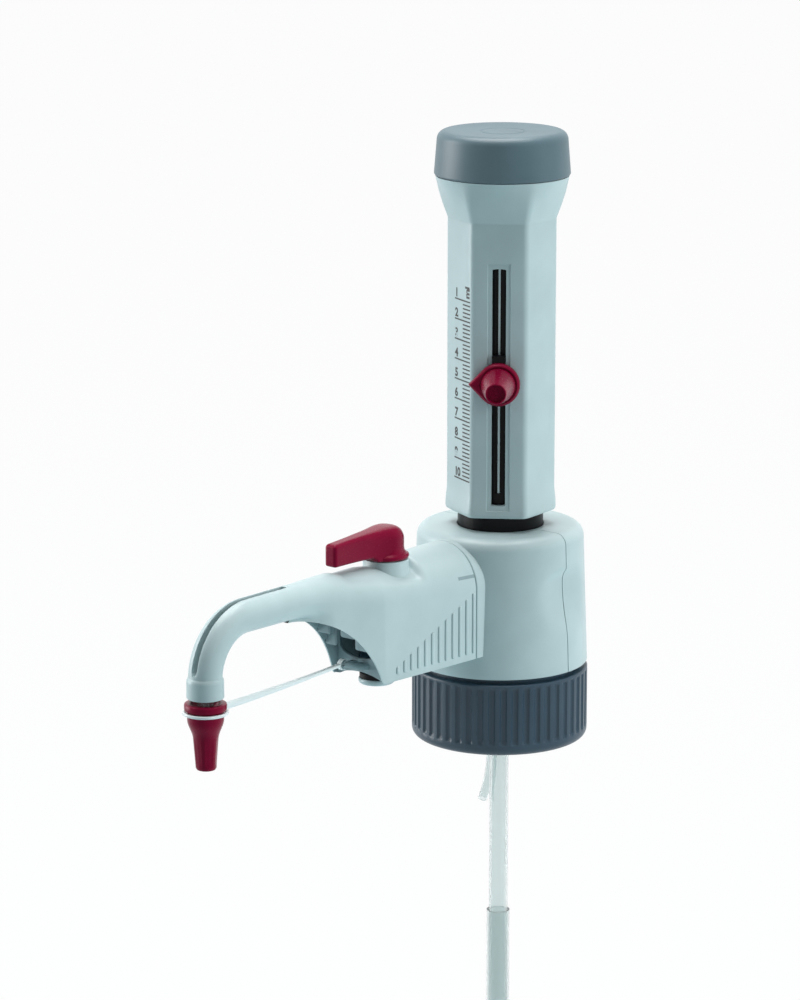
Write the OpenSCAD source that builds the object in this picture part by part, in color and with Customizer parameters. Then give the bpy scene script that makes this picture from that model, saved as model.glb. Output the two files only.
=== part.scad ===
// Bottle-top dispenser with a recirculation valve, for a 45 mm bottle thread.
// Origin: centre of the bottle's lip seat. +Z up, +X along the discharge arm.

/* [Bottle thread] */
// Nominal diameter of the bottle's thread
thread_d = 45; // [42:0.5:47]
// Pitch of the bottle's thread
thread_pitch = 4; // [3.5:0.25:4.5]
// Height of the thread rib inside the collar
thread_depth = 1.2; // [0.8:0.1:1.4]
// Turns of the thread rib
thread_turns = 2.5; // [1.5:0.25:3]
// Depth of the collar below the bottle's lip
collar_skirt = 19.5; // [17:0.5:24]
// Wall between the thread's bore and the outside of the collar
collar_wall = 4.3; // [3.9:0.1:5.5]
// Number of grip flutes around the collar
flute_count = 48; // [24:4:60]
// Depth of a grip flute
flute_depth = 0.7; // [0.4:0.1:1]
// Radius of a grip flute's cutter
flute_r = 1.25; // [0.9:0.05:1.4]
// Thickness of the sealing washer on the bottle's lip
lip_seal_t = 1.5; // [1:0.1:2.5]
// Width of the sealing washer
lip_seal_w = 7; // [4:0.5:8]

/* [Housing] */
// How much narrower the housing is at its top
body_draft = 1.4; // [0.6:0.1:2]
// Height of the housing
body_h = 42.9; // [41:0.5:46]
// Rounding of the housing's top edge
body_edge = 3.6; // [2:0.2:5]
// Wall of the housing shells
body_wall = 2.1; // [1.6:0.1:2.6]
// Gap between the collar and the housing
collar_gap = 1.6; // [1:0.1:2.2]
// Depth of the thumb recess in the housing's sides
thumb_depth = 2.1; // [1:0.1:2.6]
// Height of the thumb recess
thumb_h = 19; // [14:0.5:22]
// Visible seam between two mouldings
seam = 0.3; // [0.2:0.05:0.5]

/* [Valve block] */
// Radius of the neck that turns in the collar
hub_r = 17.2; // [16:0.1:18]
// Radius of the block inside the housing
block_r = 14.4; // [13.6:0.1:15]
// Height of the discharge channel above the lip
port_z = 22; // [20:0.5:24]
// Radius of the liquid channels
channel_r = 1.5; // [1:0.1:1.8]
// Radius of the balls in the two valves
ball_r = 2.4; // [2:0.1:2.7]
// Lift of the two valve balls
ball_lift = 1.2; // [0.8:0.1:1.6]
// Running clearance between turning and sliding pieces
run = 0.05; // [0.03:0.01:0.08]

/* [Cylinder and piston] */
// Bore of the glass cylinder
barrel_bore = 14.4; // [12:0.2:15]
// Wall of the glass cylinder
barrel_wall = 1.6; // [1.2:0.1:1.8]
// Lift of the piston for the full volume
stroke = 61.3; // [50:0.5:64]
// Length of the piston
piston_l = 12; // [9:0.5:14]
// Radius of the piston rod
rod_r = 4; // [3:0.1:4.4]
// Radius of the black sleeve around the cylinder
inner_sleeve_r = 12.4; // [12.1:0.1:12.8]
// Wall of the black sleeve
inner_sleeve_wall = 2.2; // [1.8:0.1:2.4]

/* [Hexagonal sleeve] */
// Width of the sleeve across its flats
hex_flats = 29.4; // [29:0.1:31]
// Rounding of the sleeve's corners
hex_corner = 1.6; // [0.8:0.1:2.5]
// Gap between the housing and the sleeve's foot
hex_lift = 4.5; // [3.5:0.1:6]
// Height of the hexagonal length
hex_h = 90.2; // [86:0.2:95]
// Height of the flare under the cap
flare_h = 12.8; // [11:0.2:17]
// Radius of the flare at the cap
flare_r = 20.2; // [19:0.1:22]
// How far the sleeve's foot stands out
foot_out = 0.8; // [0:0.1:1.2]
// Height of the sleeve's foot
foot_h = 8; // [5:0.5:12]
// Direction of the slot, turned from the arm about the vertical
slot_az = 36; // [20:1:50]
// Width of the slot
slot_w = 4.2; // [3.8:0.1:4.8]
// Lower end of the slot above the sleeve's foot
slot_z = 3.9; // [3:0.1:6]
// Length of the slot
slot_l = 72.7; // [70:0.5:76]
// Height of the top cap
cap_h = 13.5; // [11:0.5:17]
// Radius of the top cap at its foot
cap_r = 20.6; // [20.3:0.1:23]
// How much narrower the top cap is near its top
cap_draft = 1; // [0.4:0.1:2]

/* [Volume pointer] */
// Volume that the pointer is set to, in millilitres
set_volume = 5; // [1:0.2:10]
// Full volume of the scale, in millilitres
full_volume = 10; // [10:1:10]
// Height of the scale's top line above the sleeve's foot
scale_top = 66.2; // [64:0.2:70]
// Radius of the pointer's plate
pointer_r = 6.5; // [5.5:0.1:7.5]
// Reach of the pointer's tip from its centre
pointer_tip = 9; // [8:0.1:10.5]
// Thickness of the pointer's plate
pointer_t = 2; // [1.4:0.1:2.6]
// Length of the thumb screw
thumb_l = 13; // [10:0.5:16]
// Radius of the thumb screw at its base
thumb_base_r = 5.2; // [4.4:0.1:5.6]
// Radius of the thumb screw at its end
thumb_end_r = 3.2; // [2.6:0.1:3.8]

/* [Discharge arm] */
// Half width of the arm at the housing
arm_w = 12.7; // [12:0.1:13.5]
// Half width of the arm where its underside opens
arm_mid_w = 10.2; // [9.8:0.1:11]
// Top of the arm
arm_top = 46.6; // [45.6:0.2:47]
// Lower edge of the arm
arm_low = 12; // [11:0.2:14]
// Wall of the arm
arm_wall = 1.9; // [1.5:0.1:2.2]
// Where the arm's open underside begins
arm_mid_x = 66; // [64.5:0.5:68]
// Where the arm becomes a round spout
spout_x = 97; // [94:0.5:100]
// Radius of the spout
spout_r = 5.1; // [4.7:0.1:5.4]
// Distance of the nozzle from the housing's axis
nozzle_x = 132.5; // [130:0.5:136]
// Radius of the spout's bend
bend_r = 16; // [14:0.5:18]
// Bottom of the nozzle
nozzle_z = 20.3; // [18:0.1:21]
// Height of the nozzle's collar
nozzle_h = 6.2; // [4:0.1:7]
// Radius of the nozzle's collar
nozzle_r = 5.4; // [5.2:0.1:5.8]
// Radius of the underside's arch
arch_r = 34; // [32:0.5:35]
// Width of the slot along the spout
tube_slot_w = 2.3; // [1.6:0.1:2.8]
// Radius of the discharge tube
tube_r = 2.4; // [2.2:0.05:2.5]
// Number of grip ribs on a side of the arm
rib_count = 12; // [6:1:12]
// Distance between two grip ribs
rib_pitch = 3.05; // [2.6:0.05:3.1]
// Width of a grip rib
rib_w = 1.3; // [0.8:0.1:1.5]

/* [Recirculation valve] */
// Distance of the lever's axis from the housing's axis
lever_x = 54; // [52:0.5:56]
// Radius of the valve's plug
plug_r = 5; // [4:0.1:5.4]
// Radius of the valve's body
switch_r = 7.7; // [7:0.1:8]
// Radius of the lever's disc
lever_disc_r = 7; // [6.4:0.1:7.5]
// Radius of the lever's hub
lever_hub_r = 5.5; // [5:0.1:6]
// Reach of the lever's handle
lever_reach = 25; // [20:0.5:28]
// Top of the lever above the arm
lever_h = 10; // [9:0.2:12]

/* [Discharge cap and strap] */
// Radius of the cap's lip
lip_r = 6.15; // [5.8:0.05:6.6]
// Top of the cap's lip
lip_z = 18.9; // [18:0.1:19.5]
// Length of the cap
dcap_l = 19.8; // [18.5:0.1:22]
// Radius of the cap's neck
dcap_neck_r = 5.3; // [5:0.05:5.5]
// Radius of the cap below its taper
dcap_waist_r = 3.7; // [3.5:0.05:4]
// Radius of the cap's end
dcap_end_r = 3.05; // [3:0.05:3.3]
// Thickness of the strap
strap_t = 1.1; // [0.8:0.1:1.4]
// Width of the strap
strap_w = 1.9; // [1.5:0.1:2.4]

/* [Tubes in the bottle] */
// Radius of the filling tube
fill_r = 2.95; // [2.7:0.05:3.2]
// Wall of the filling tube
fill_wall = 0.7; // [0.5:0.05:0.8]
// Lower end of the filling tube below the lip
fill_depth = 109; // [95:1:120]
// Top of the telescopic tube below the lip
tele_top = 77.3; // [70:0.5:85]
// Lower end of the telescopic tube below the lip
tele_depth = 229; // [180:1:260]
// Wall of the telescopic tube
tele_wall = 0.6; // [0.5:0.05:0.8]
// Radius of the recirculation tube
return_r = 1.5; // [1.3:0.05:1.7]

/* [Hidden] */
$fn = 64;
eps = 0.01;
far = 60;

// Colours of the mouldings
light_grey = "#B9C8CB";
dark_grey = "#46535D";
cap_grey = "#6C7E85";
red = "#A3122F";
black = "#17191B";
clear = "#DCE8E6";
ptfe = "#F1F1EC";
steel = "#B8BCC0";
FKM = "#2B2B2B";

// Collar
body_z = 4.6;
thread_play = 0.3;
thread_r = thread_d / 2 + thread_play;
collar_r = thread_r + collar_wall;
crest_r = thread_r - thread_depth;
collar_top = body_z - collar_gap;
collar_web = 1.8;
collar_edge = 2.5;
collar_chamfer = 0.6;
boss_wall = 1.6;
thread_end = 3.5;
rib_root = 1.3;
rib_crest = 0.7;
flute_low = 3.4;
flute_high = 1;
flute_l = collar_skirt + collar_top - flute_low - flute_high;

// Stack above the bottle's lip
flange_z = lip_seal_t + run;
flange_t = 1.8;
flange_r = crest_r - thread_play;
web_z = flange_z + flange_t + run;
shell_grip_z = web_z + collar_web + 0.8;
shell_grip_t = 2;
grip_depth = 1;
neck_top = shell_grip_z + shell_grip_t + 1.4;

// Housing
body_r = collar_r - 0.1;
body_top = body_z + body_h;
flange_x = body_r - 0.5;
flange_root = body_r - 10;
spigot_play = 0.1;
spigot_t = 1.5;
thumb_r = (pow(thumb_h / 2, 2) + pow(thumb_depth, 2)) / (2 * thumb_depth);
thumb_z = 28.5;
thumb_wall = 1.8;

// Cylinder and piston
barrel_r = barrel_bore / 2 + barrel_wall;
spigot_r = inner_sleeve_r - inner_sleeve_wall - run;
block_top = 30;
chamber_z = block_top + 1.5;
cylinder_seal_t = 1.5;
barrel_z = chamber_z + cylinder_seal_t;
barrel_seat = 5;
spigot_top = barrel_z + barrel_seat;
piston_z = barrel_z + 0.4;
piston_play = 0.1;
lip_play = 0.04;
lip_groove = 0.8;
lip_t = 1;
lip_zs = [2.5, piston_l - 2.5 - lip_t];
rod_seat_z = 4;
rod_seat_r = rod_r - 1.2;
rod_collar_t = 3;
hex_z = body_top + hex_lift;
sleeve_top = hex_z + slot_z + slot_l + 2.4;
ring_t = 6;
base_ring_r = inner_sleeve_r + 0.7;
base_ring_sink = 3;
base_ring_gap = 0.6;
groove_w = 2.2;
groove_d = 0.9;
groove_r = inner_sleeve_r - groove_d;
rail_w = 0.6;
rail_d = 0.7;
groove_z = hex_z + slot_z + 3.5;

// Hexagonal sleeve
sleeve_bore_r = inner_sleeve_r + 0.3;
flare_z = hex_z + hex_h;
cap_z = flare_z + flare_h;
web_low = flare_z + 1.8;
web_t = 3;
slide_w = slot_w + 2.4;
slide_d = 0.9;
recess_w = slot_w + 2.8;
recess_d = 0.3;
recess_margin = (recess_w - slot_w) / 2;
guide_z = hex_z + slot_z - recess_margin;
guide_l = slot_l + 2 * recess_margin;
rod_end_r = 3;
nut_r = 7.5;
nut_t = 4;
lock_r = 8.5;
lock_t = 1.2;
counterbore_r = 12.6;
cap_plug = 4;
cap_wall = 2;
cap_edge = 3;
cap_dish = 0.4;
cap_ring_r = 6.8;

// Volume pointer
scale_pitch = stroke / full_volume;
pointer_z = hex_z + scale_top - (set_volume - 1) * scale_pitch;
face_d = hex_flats / 2;
block_up = 8.5;
block_down = 6.8;
tongue_l = 4;
slide_play = 0.15;
shoulder_t = 0.7;
stem_r = 1.2;
plate_gap = foot_out / 2 + run;

// Valves
seat_depth = 1.5;
cage_r = max(ball_r + 0.35, channel_r + seat_depth);
ball_play = 0.2;
fill_bore_r = 5.6;
fill_head_r = fill_bore_r + 1.2;
nose_r = fill_bore_r + 4.2;
fill_top = 12;
nose_z = -2;
head_z = -7;
head_seal_t = 0.6;
nipple_z = -16;
nipple_r = fill_r - fill_wall;
seat_z = 1;
cage_z = seat_z + seat_depth;
ball_seat = ball_r * sqrt(2) - channel_r + 0.1;
fill_ball_z = seat_z + ball_seat;
out_bore_r = 5;
out_boss_r = 7.6;
out_boss_x = 19.5;
out_in_x = 13.2;
out_seal_t = 0.8;
union_r = 9;
union_lip = 2;
out_flange = 2;
out_r = 6;
out_seat_x = 24;
out_ball_x = out_seat_x + ball_seat;
spring_x = out_ball_x + ball_r + ball_play;
spring_l = 8;
spring_end = spring_x + spring_l;
spring_coil_r = 1.75;
wire_r = 0.25;
spring_turns = 6;

// Recirculation valve and arm
switch_z = arm_low + 0.6;
switch_top = arm_top - 2.4;
arch_rise = 1.08;
out_z = arm_top - spout_r - 0.2;
socket_r = 3.4;
socket_d = 1.6;
foot_z = arm_low - 3.4;
foot_r = 6.6;
foot_t = 1.5;
foot_off = 2.5;
stem_foot_r = 5.5;
switch_neck_r = plug_r + 0.9;
switch_neck_z = out_z - 3;
spindle_r = plug_r - 1.2;
spindle_top_r = plug_r - 1;
screw_r = 1.25;
screw_play = 0.1;
screw_slot = 0.6;
head_r = 2.4;
ring_groove = 0.9;
ring_zs = [switch_z + 4.6, port_z + 8, switch_top - 1.6];
lever_z = arm_top + 0.2;
lever_top = arm_top + lever_h;
lever_tip_r = 2.4;
boss_up = 5;
head_sink = 3.4;
head_t = 1.6;
disc_t = 1.7;
handle_z = lever_z + 1.5;
outlet_boss_r = tube_r + 0.3;
bend_x = nozzle_x - bend_r;
bend_z = out_z - bend_r;
guide_r = tube_r + 0.1;
slot_end = 6;
arch_x = spout_x + 2;
arch_z = out_z - spout_r - 0.5 - arch_r;
mouth_x = arch_x - sqrt(pow(arch_r, 2) - pow(arm_low - arch_z, 2));
arm_end_x = arch_x;
arm_end_w = spout_r + 0.2;
arch_steps = 8;
arch_xs = [for (i = [0:arch_steps]) mouth_x + (arm_end_x - mouth_x) * pow(i / arch_steps, 1.4)];
arm_flat_x = arm_mid_x - 20;
wall_t = 1.4;
wall_xs = [mouth_x + 4, mouth_x + 8.7];
wall_gaps = [tube_r + 1.2, tube_r - 0.4];
spigot_l = 3;
tip_z = 1.2;
tip_r = 1.9;
tip_l = 8;
outlet_r = 1.5;
outlet_l = 7;
return_x = -5;
return_y = -7.2;
return_z = 14.4;
pipe_r = 1.2;
pipe_wall = 0.5;
pipe_seat = 4;
port_r = 0.9;
pipe_end = lever_x - 4.5;
pipe_boss_r = 1.9;
rib_out = 0.5;
rib_sink = 1.2;
rib_x = 28.4;
rib_low = arm_low + 1.9;
rib_least = 2.4;
rib_step = 1.5;

// Cap and strap
ring_gap = 0.25;
strap_z = lip_z - 2.8;
post_x = 73.5;
post_z = 17.8;
post_r = 1.3;
fork_w = 5.4;
fork_x = arm_mid_x - 1.4;
dish_r = 12;
dish_top = arm_low + 9.5;
fork_slot = strap_w + 0.6;

// Points of an arc in the plane
function arc(c, r, from, to, n = 8) =
    [for (i = [0:n]) let (a = from + (to - from) * i / n) [c.x + r * cos(a), c.y + r * sin(a)]];

// Middle of a ring of points
function middle(ring) = [for (p = ring) 1] * ring / len(ring);

// A closed solid through rings of equally many points, counter-clockwise seen from its far end
module sweep(rings) {
    m = len(rings);
    n = len(rings[0]);
    polyhedron(
        concat([for (ring = rings) each ring], [middle(rings[0]), middle(rings[m - 1])]),
        concat(
            [for (i = [0:m - 2]) for (j = [0:n - 1]) [i * n + (j + 1) % n, i * n + j, (i + 1) * n + j]],
            [for (i = [0:m - 2]) for (j = [0:n - 1])
                [(i + 1) * n + (j + 1) % n, i * n + (j + 1) % n, (i + 1) * n + j]],
            [for (j = [0:n - 1]) [m * n, j, (j + 1) % n]],
            [for (j = [0:n - 1]) [m * n + 1, (m - 1) * n + (j + 1) % n, (m - 1) * n + j]]
        ),
        convexity = 8
    );
}

module tube(r, wall, from, to) {
    translate([0, 0, from]) difference() {
        cylinder(r = r, h = to - from);
        translate([0, 0, -1]) cylinder(r = r - wall, h = to - from + 2);
    }
}

// A cylinder along +X between two places
module rod_x(r, from, to, z = 0) {
    translate([from, 0, z]) rotate([0, 90, 0]) cylinder(r = r, h = to - from);
}

// Thread rib, fading in and out over a quarter turn
module thread_rib() {
    steps = 24;
    m = ceil(thread_turns * steps) + 1;
    root_r = thread_r + 0.5;
    section = [[root_r, -rib_root], [crest_r, -rib_crest], [crest_r, rib_crest], [root_r, rib_root]];
    rise = -thread_end - rib_root - thread_turns * thread_pitch;
    sweep([for (i = [0:m - 1])
        let (a = i * 360 / steps, z = rise + i * thread_pitch / steps, k = min(1, (i + 1) / 7, (m - i) / 7))
            [for (p = section) let (r = p.x * k + root_r * (1 - k)) [r * cos(a), r * sin(a), z + p.y]]]);
}

module thread_collar() {
    color(dark_grey) {
        difference() {
            rotate_extrude() polygon(concat(
                [[hub_r + run, web_z], [hub_r + run, web_z + collar_web],
                 [thread_r + boss_wall, web_z + collar_web], [thread_r + boss_wall, collar_top],
                 [collar_r - collar_chamfer, collar_top], [collar_r, collar_top - collar_chamfer]],
                arc([collar_r - collar_edge, collar_edge - collar_skirt], collar_edge, 0, -70, 7),
                [[thread_r, -collar_skirt], [thread_r, web_z]]
            ));
            for (i = [0:flute_count - 1])
                rotate([0, 0, i * 360 / flute_count])
                    translate([collar_r + flute_r - flute_depth, 0, flute_low - collar_skirt])
                        cylinder(r = flute_r, h = flute_l, $fn = 24);
        }
        thread_rib();
    }
}

module lip_seal() {
    color(ptfe) tube(thread_r, lip_seal_w, 0, lip_seal_t);
}

module valve_block() {
    color(ptfe) difference() {
        union() {
            rotate_extrude() polygon([
                [0, nose_z], [nose_r, nose_z], [nose_r + 1, nose_z + 1], [nose_r + 1, flange_z],
                [flange_r, flange_z], [flange_r, flange_z + flange_t], [hub_r, flange_z + flange_t],
                [hub_r, shell_grip_z], [hub_r - grip_depth, shell_grip_z],
                [hub_r - grip_depth, shell_grip_z + shell_grip_t], [hub_r, shell_grip_z + shell_grip_t],
                [hub_r, neck_top], [block_r, neck_top], [block_r, block_top], [spigot_r, block_top],
                [spigot_r, spigot_top], [0, spigot_top]
            ]);
            rod_x(out_boss_r, 0, out_boss_x, port_z);
        }
        // Seat of the glass cylinder, the chamber's channel and the side channel
        translate([0, 0, chamber_z]) cylinder(r = barrel_r + run, h = spigot_top);
        translate([0, 0, nose_z - 1]) cylinder(r = fill_bore_r, h = fill_top - nose_z + 1);
        translate([0, 0, fill_top - 1]) cylinder(r = channel_r, h = chamber_z - fill_top + 2);
        rod_x(channel_r, 0, out_boss_x, port_z);
        rod_x(out_bore_r, out_in_x, out_boss_x + 1, port_z);
        // Return channel down to the bottle
        translate([return_x, return_y, nose_z - 1])
            cylinder(r = return_r, h = return_z - nose_z + 1 + pipe_r);
        translate([0, return_y, 0]) rod_x(pipe_r, return_x, block_r + 1, return_z);
    }
}

// Outline of the housing, moved inwards by inset
module body_profile(inset, low, high) {
    r0 = body_r - inset;
    r1 = body_r - body_draft - inset;
    e = max(body_edge - inset, 0.8);
    polygon(concat([[0, low], [r0, low]], arc([r1 - e, high - e], e, 0, 90, 8), [[0, high]]));
}

// Cross-section of the arm, seen along it: half width w, moved inwards by inset, down to low
function arch(w, inset, low) =
    let (n = 14, r = w - inset, h = arm_top - inset - arch_rise * r)
    concat([[-r, low], [r, low]],
        [for (i = [0:n]) let (a = i * 180 / n) [r * cos(a), h + arch_rise * r * sin(a)]]);

// Half width of the arm at x, and the height of its lower edge there
function half_width(x) = x < arm_mid_x
    ? arm_w + (arm_mid_w - arm_w) * (x - flange_x) / (arm_mid_x - flange_x)
    : let (k = (x - arm_mid_x) / (arm_end_x - arm_mid_x))
        arm_mid_w + (arm_end_w - arm_mid_w) * (1 - pow(1 - k, 1.5));
function low_edge(x) = x <= mouth_x ? arm_low : arch_z + sqrt(pow(arch_r, 2) - pow(x - arch_x, 2));

// A solid through cross-sections of the arm at the places in xs
module arm_loft(xs, inset, low) {
    sweep([for (x = xs) let (z = low > 0 ? low : low_edge(x))
        [for (p = arch(half_width(x), inset, z)) [x, p.x, p.y]]]);
}

module arch_slice(x, w, inset, t, low = arm_low) {
    translate([x, 0, 0]) rotate([90, 0, 90]) linear_extrude(t) polygon(arch(w, inset, low));
}

module shell(front) {
    grip_r = hub_r - grip_depth + run;
    difference() {
        union() {
            rotate_extrude() body_profile(0, body_z, body_top);
            if (front) difference() {
                arch_slice(flange_root, arm_w, 0, flange_x - flange_root);
                translate([0, 0, body_top - 0.4]) cylinder(r = body_r + 5, h = 10);
            }
        }
        // Cavity, the grip on the valve block's neck and the opening for the black sleeve
        difference() {
            rotate_extrude() body_profile(body_wall, shell_grip_z + shell_grip_t, body_top - body_wall);
            for (s = [-1, 1]) thumb_bar(s, thumb_r + thumb_wall);
        }
        rotate_extrude() polygon([
            [0, 0], [body_r - body_wall, 0], [body_r - body_wall, shell_grip_z], [grip_r, shell_grip_z],
            [grip_r, shell_grip_z + shell_grip_t + 1], [0, shell_grip_z + shell_grip_t + 1]
        ]);
        cylinder(r = base_ring_r + 0.1, h = body_top + 1);
        for (s = [-1, 1]) thumb_bar(s, thumb_r);
        // The other half
        translate([front ? seam / 2 - far : -seam / 2, -far / 2, -1]) cube(far);
        // Passage of the discharge valve and the return pipe
        if (front) {
            rod_x(union_r + 0.4, 0, flange_x + 1, port_z);
            translate([0, return_y, 0]) rod_x(pipe_r + 0.5, 0, flange_x + 1, return_z);
        }
    }
    // Spigot that the arm is pushed onto
    if (front) let (w = half_width(flange_x + spigot_l), inset = arm_wall + spigot_play) difference() {
        arch_slice(flange_x - 1, w, inset, spigot_l + 1, arm_low + 2);
        arch_slice(flange_x - 2, w, inset + spigot_t, spigot_l + 3, arm_low - 1);
    }
}

// Round bar along X whose side presses the recess into the housing
module thumb_bar(side, r) {
    centre = body_r - body_draft / 2 - thumb_depth + thumb_r;
    translate([-far / 2, side * centre, thumb_z]) rotate([0, 90, 0]) cylinder(r = r, h = far, $fn = 96);
}

module front_shell() {
    color(light_grey) shell(true);
}

module rear_shell() {
    color(light_grey) shell(false);
}

module glass_cylinder() {
    color(clear) tube(barrel_r, barrel_wall, barrel_z, sleeve_top - ring_t);
}

module cylinder_seal() {
    color(ptfe) tube(barrel_r, barrel_wall, chamber_z, barrel_z);
}

module cylinder_sleeve() {
    color(black) difference() {
        union() {
            translate([0, 0, block_top]) cylinder(r = inner_sleeve_r, h = sleeve_top - block_top);
            translate([0, 0, body_top - base_ring_sink])
                cylinder(r = base_ring_r, h = hex_lift + base_ring_sink - base_ring_gap);
        }
        translate([0, 0, block_top - 1])
            cylinder(r = inner_sleeve_r - inner_sleeve_wall, h = sleeve_top - block_top + 2);
        rotate([0, 0, slot_az])
            translate([groove_r, -groove_w / 2, groove_z]) cube([5, groove_w, sleeve_top]);
    }
}

module stop_rail() {
    color(clear) rotate([0, 0, slot_az])
        translate([groove_r, -rail_w / 2, groove_z]) cube([rail_d, rail_w, sleeve_top - groove_z]);
}

module safety_ring() {
    r = inner_sleeve_r - inner_sleeve_wall;
    color(black) tube(r, r - rod_r - run, sleeve_top - ring_t, sleeve_top);
}

module filling_valve() {
    color(ptfe) difference() {
        union() {
            translate([0, 0, nose_z - eps]) cylinder(r = fill_bore_r, h = fill_top - nose_z - 1);
            translate([0, 0, head_z]) cylinder(r = fill_head_r, h = nose_z - head_z - head_seal_t);
            translate([0, 0, head_z]) cylinder(r = fill_bore_r, h = nose_z - head_z);
            translate([0, 0, nipple_z]) cylinder(r = nipple_r, h = head_z - nipple_z + 1);
        }
        translate([0, 0, nipple_z - 1]) cylinder(r = channel_r, h = 40);
        translate([0, 0, seat_z]) cylinder(r1 = channel_r, r2 = channel_r + seat_depth, h = seat_depth);
        translate([0, 0, cage_z - eps])
            cylinder(r = cage_r, h = fill_ball_z + ball_r + ball_lift + ball_play - cage_z);
    }
}

module filling_valve_seal() {
    color(FKM) tube(fill_head_r, fill_head_r - fill_bore_r, nose_z - head_seal_t, nose_z);
}

module filling_ball() {
    color(steel) translate([0, 0, fill_ball_z]) sphere(r = ball_r);
}

module filling_tube() {
    color(clear) tube(fill_r, fill_wall, -fill_depth, head_z - 0.2);
}

module telescopic_tube() {
    color(clear) tube(fill_r + run + tele_wall, tele_wall, -tele_depth, -tele_top);
}

// Recirculation tube: straight under the block, then a gentle bend away from the filling tube
module return_tube() {
    drop = 26;
    sweep_r = 40;
    swing = 24;
    wall = 0.4;
    color(clear) translate([return_x, return_y, 0]) {
        tube(return_r, wall, nose_z - drop, nose_z + 6);
        translate([0, -sweep_r, nose_z - drop]) rotate([0, 90, 0]) rotate([0, 0, 90])
            rotate_extrude(angle = -swing) translate([sweep_r, 0]) difference() {
                circle(r = return_r, $fn = 32);
                circle(r = return_r - wall, $fn = 32);
            }
    }
}

module return_pipe() {
    color(ptfe) translate([0, return_y, 0]) difference() {
        rod_x(pipe_r, block_r - pipe_seat, pipe_end + 3, return_z);
        rod_x(pipe_r - pipe_wall, block_r - pipe_seat - 1, pipe_end + 4, return_z);
    }
}

module union_nut() {
    color(light_grey) difference() {
        rod_x(union_r, out_boss_x - 4, out_boss_x + out_flange + union_lip, port_z);
        rod_x(out_boss_r, out_boss_x - 5, out_boss_x + out_flange, port_z);
        rod_x(out_r, 0, far, port_z);
    }
}

module discharge_valve() {
    end = lever_x - switch_r;
    color(ptfe) difference() {
        union() {
            rod_x(out_bore_r, out_in_x + out_seal_t, out_boss_x + 1, port_z);
            rod_x(out_boss_r, out_boss_x, out_boss_x + out_flange, port_z);
            rod_x(out_r, out_boss_x, end - 0.5, port_z);
            rod_x(socket_r, out_boss_x, end + socket_d, port_z);
        }
        rod_x(channel_r, 0, lever_x, port_z);
        translate([out_seat_x, 0, port_z]) rotate([0, 90, 0])
            cylinder(r1 = channel_r, r2 = channel_r + seat_depth, h = seat_depth);
        rod_x(cage_r, out_seat_x + seat_depth - eps, spring_end + 0.1, port_z);
    }
}

module discharge_seal() {
    color(FKM) difference() {
        rod_x(out_bore_r, out_in_x, out_in_x + out_seal_t, port_z);
        rod_x(channel_r, out_in_x - 1, out_in_x + 2, port_z);
    }
}

module discharge_ball() {
    color(steel) translate([out_ball_x, 0, port_z]) sphere(r = ball_r);
}

module discharge_spring() {
    steps = 14;
    sides = 6;
    m = spring_turns * steps + 1;
    rise = (spring_end - spring_x - 2 * wire_r) / (m - 1);
    color(steel) translate([0, 0, port_z]) sweep([for (i = [0:m - 1]) [for (j = [0:sides - 1])
        let (a = i * 360 / steps, b = -j * 360 / sides, r = spring_coil_r + wire_r * cos(b))
            [spring_x + wire_r + i * rise + wire_r * sin(b), r * cos(a), r * sin(a)]]]);
}

module switch_body() {
    color(ptfe) difference() {
        union() {
            translate([lever_x, 0, switch_z]) cylinder(r = switch_r, h = switch_neck_z - switch_z);
            translate([lever_x, 0, switch_z]) cylinder(r = switch_neck_r, h = switch_top - switch_z);
            rod_x(outlet_r, lever_x, lever_x + switch_r + outlet_l, out_z);
            rod_x(outlet_boss_r, lever_x, lever_x + switch_r + 0.6, out_z);
            translate([0, return_y, 0]) rod_x(pipe_boss_r, pipe_end, lever_x + 2, return_z);
        }
        translate([lever_x, 0, switch_z - 1]) cylinder(r = plug_r + run, h = switch_top - switch_z + 2);
        rod_x(socket_r, lever_x - switch_r - 1, lever_x - switch_r + socket_d, port_z);
        rod_x(channel_r, lever_x - switch_r - 1, lever_x, port_z);
        rod_x(port_r, lever_x, far + lever_x, out_z);
        // Return port and the socket of the return pipe
        translate([lever_x, 0, return_z]) rotate([90, 0, 0]) cylinder(r = port_r, h = -return_y);
        translate([0, return_y, 0]) rod_x(port_r, pipe_end, lever_x, return_z);
        translate([0, return_y, 0]) rod_x(pipe_r, pipe_end - 1, pipe_end + 3, return_z);
    }
}

module switch_plug() {
    color(ptfe) translate([lever_x, 0, 0]) difference() {
        union() {
            translate([0, 0, foot_z + foot_t + 0.1]) cylinder(r = spindle_r, h = switch_z - foot_z);
            translate([0, 0, switch_z]) cylinder(r = plug_r, h = switch_top - switch_z + 0.5);
            translate([0, 0, switch_top]) cylinder(r = spindle_top_r, h = lever_z - switch_top + 4);
        }
        // Channel up the middle: inlet to outlet as set, inlet to return a quarter turn on
        translate([0, 0, return_z - port_r]) cylinder(r = port_r, h = out_z - return_z + 2 * port_r);
        rod_x(port_r, -plug_r - 1, 0, port_z);
        rotate([0, 0, 90]) rod_x(port_r, 0, plug_r + 1, port_z);
        rod_x(port_r, 0, plug_r + 1, out_z);
        rod_x(port_r, -plug_r - 1, 0, return_z);
        // Tapped hole of the lever's screw
        translate([0, 0, lever_z - 2]) cylinder(r = screw_r, h = 10);
        for (z = ring_zs) translate([0, 0, z]) difference() {
            translate([0, 0, -ring_groove / 2]) cylinder(r = plug_r + 1, h = ring_groove);
            translate([0, 0, -ring_groove]) cylinder(r = plug_r - ring_groove, h = 2 * ring_groove);
        }
    }
}

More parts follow.
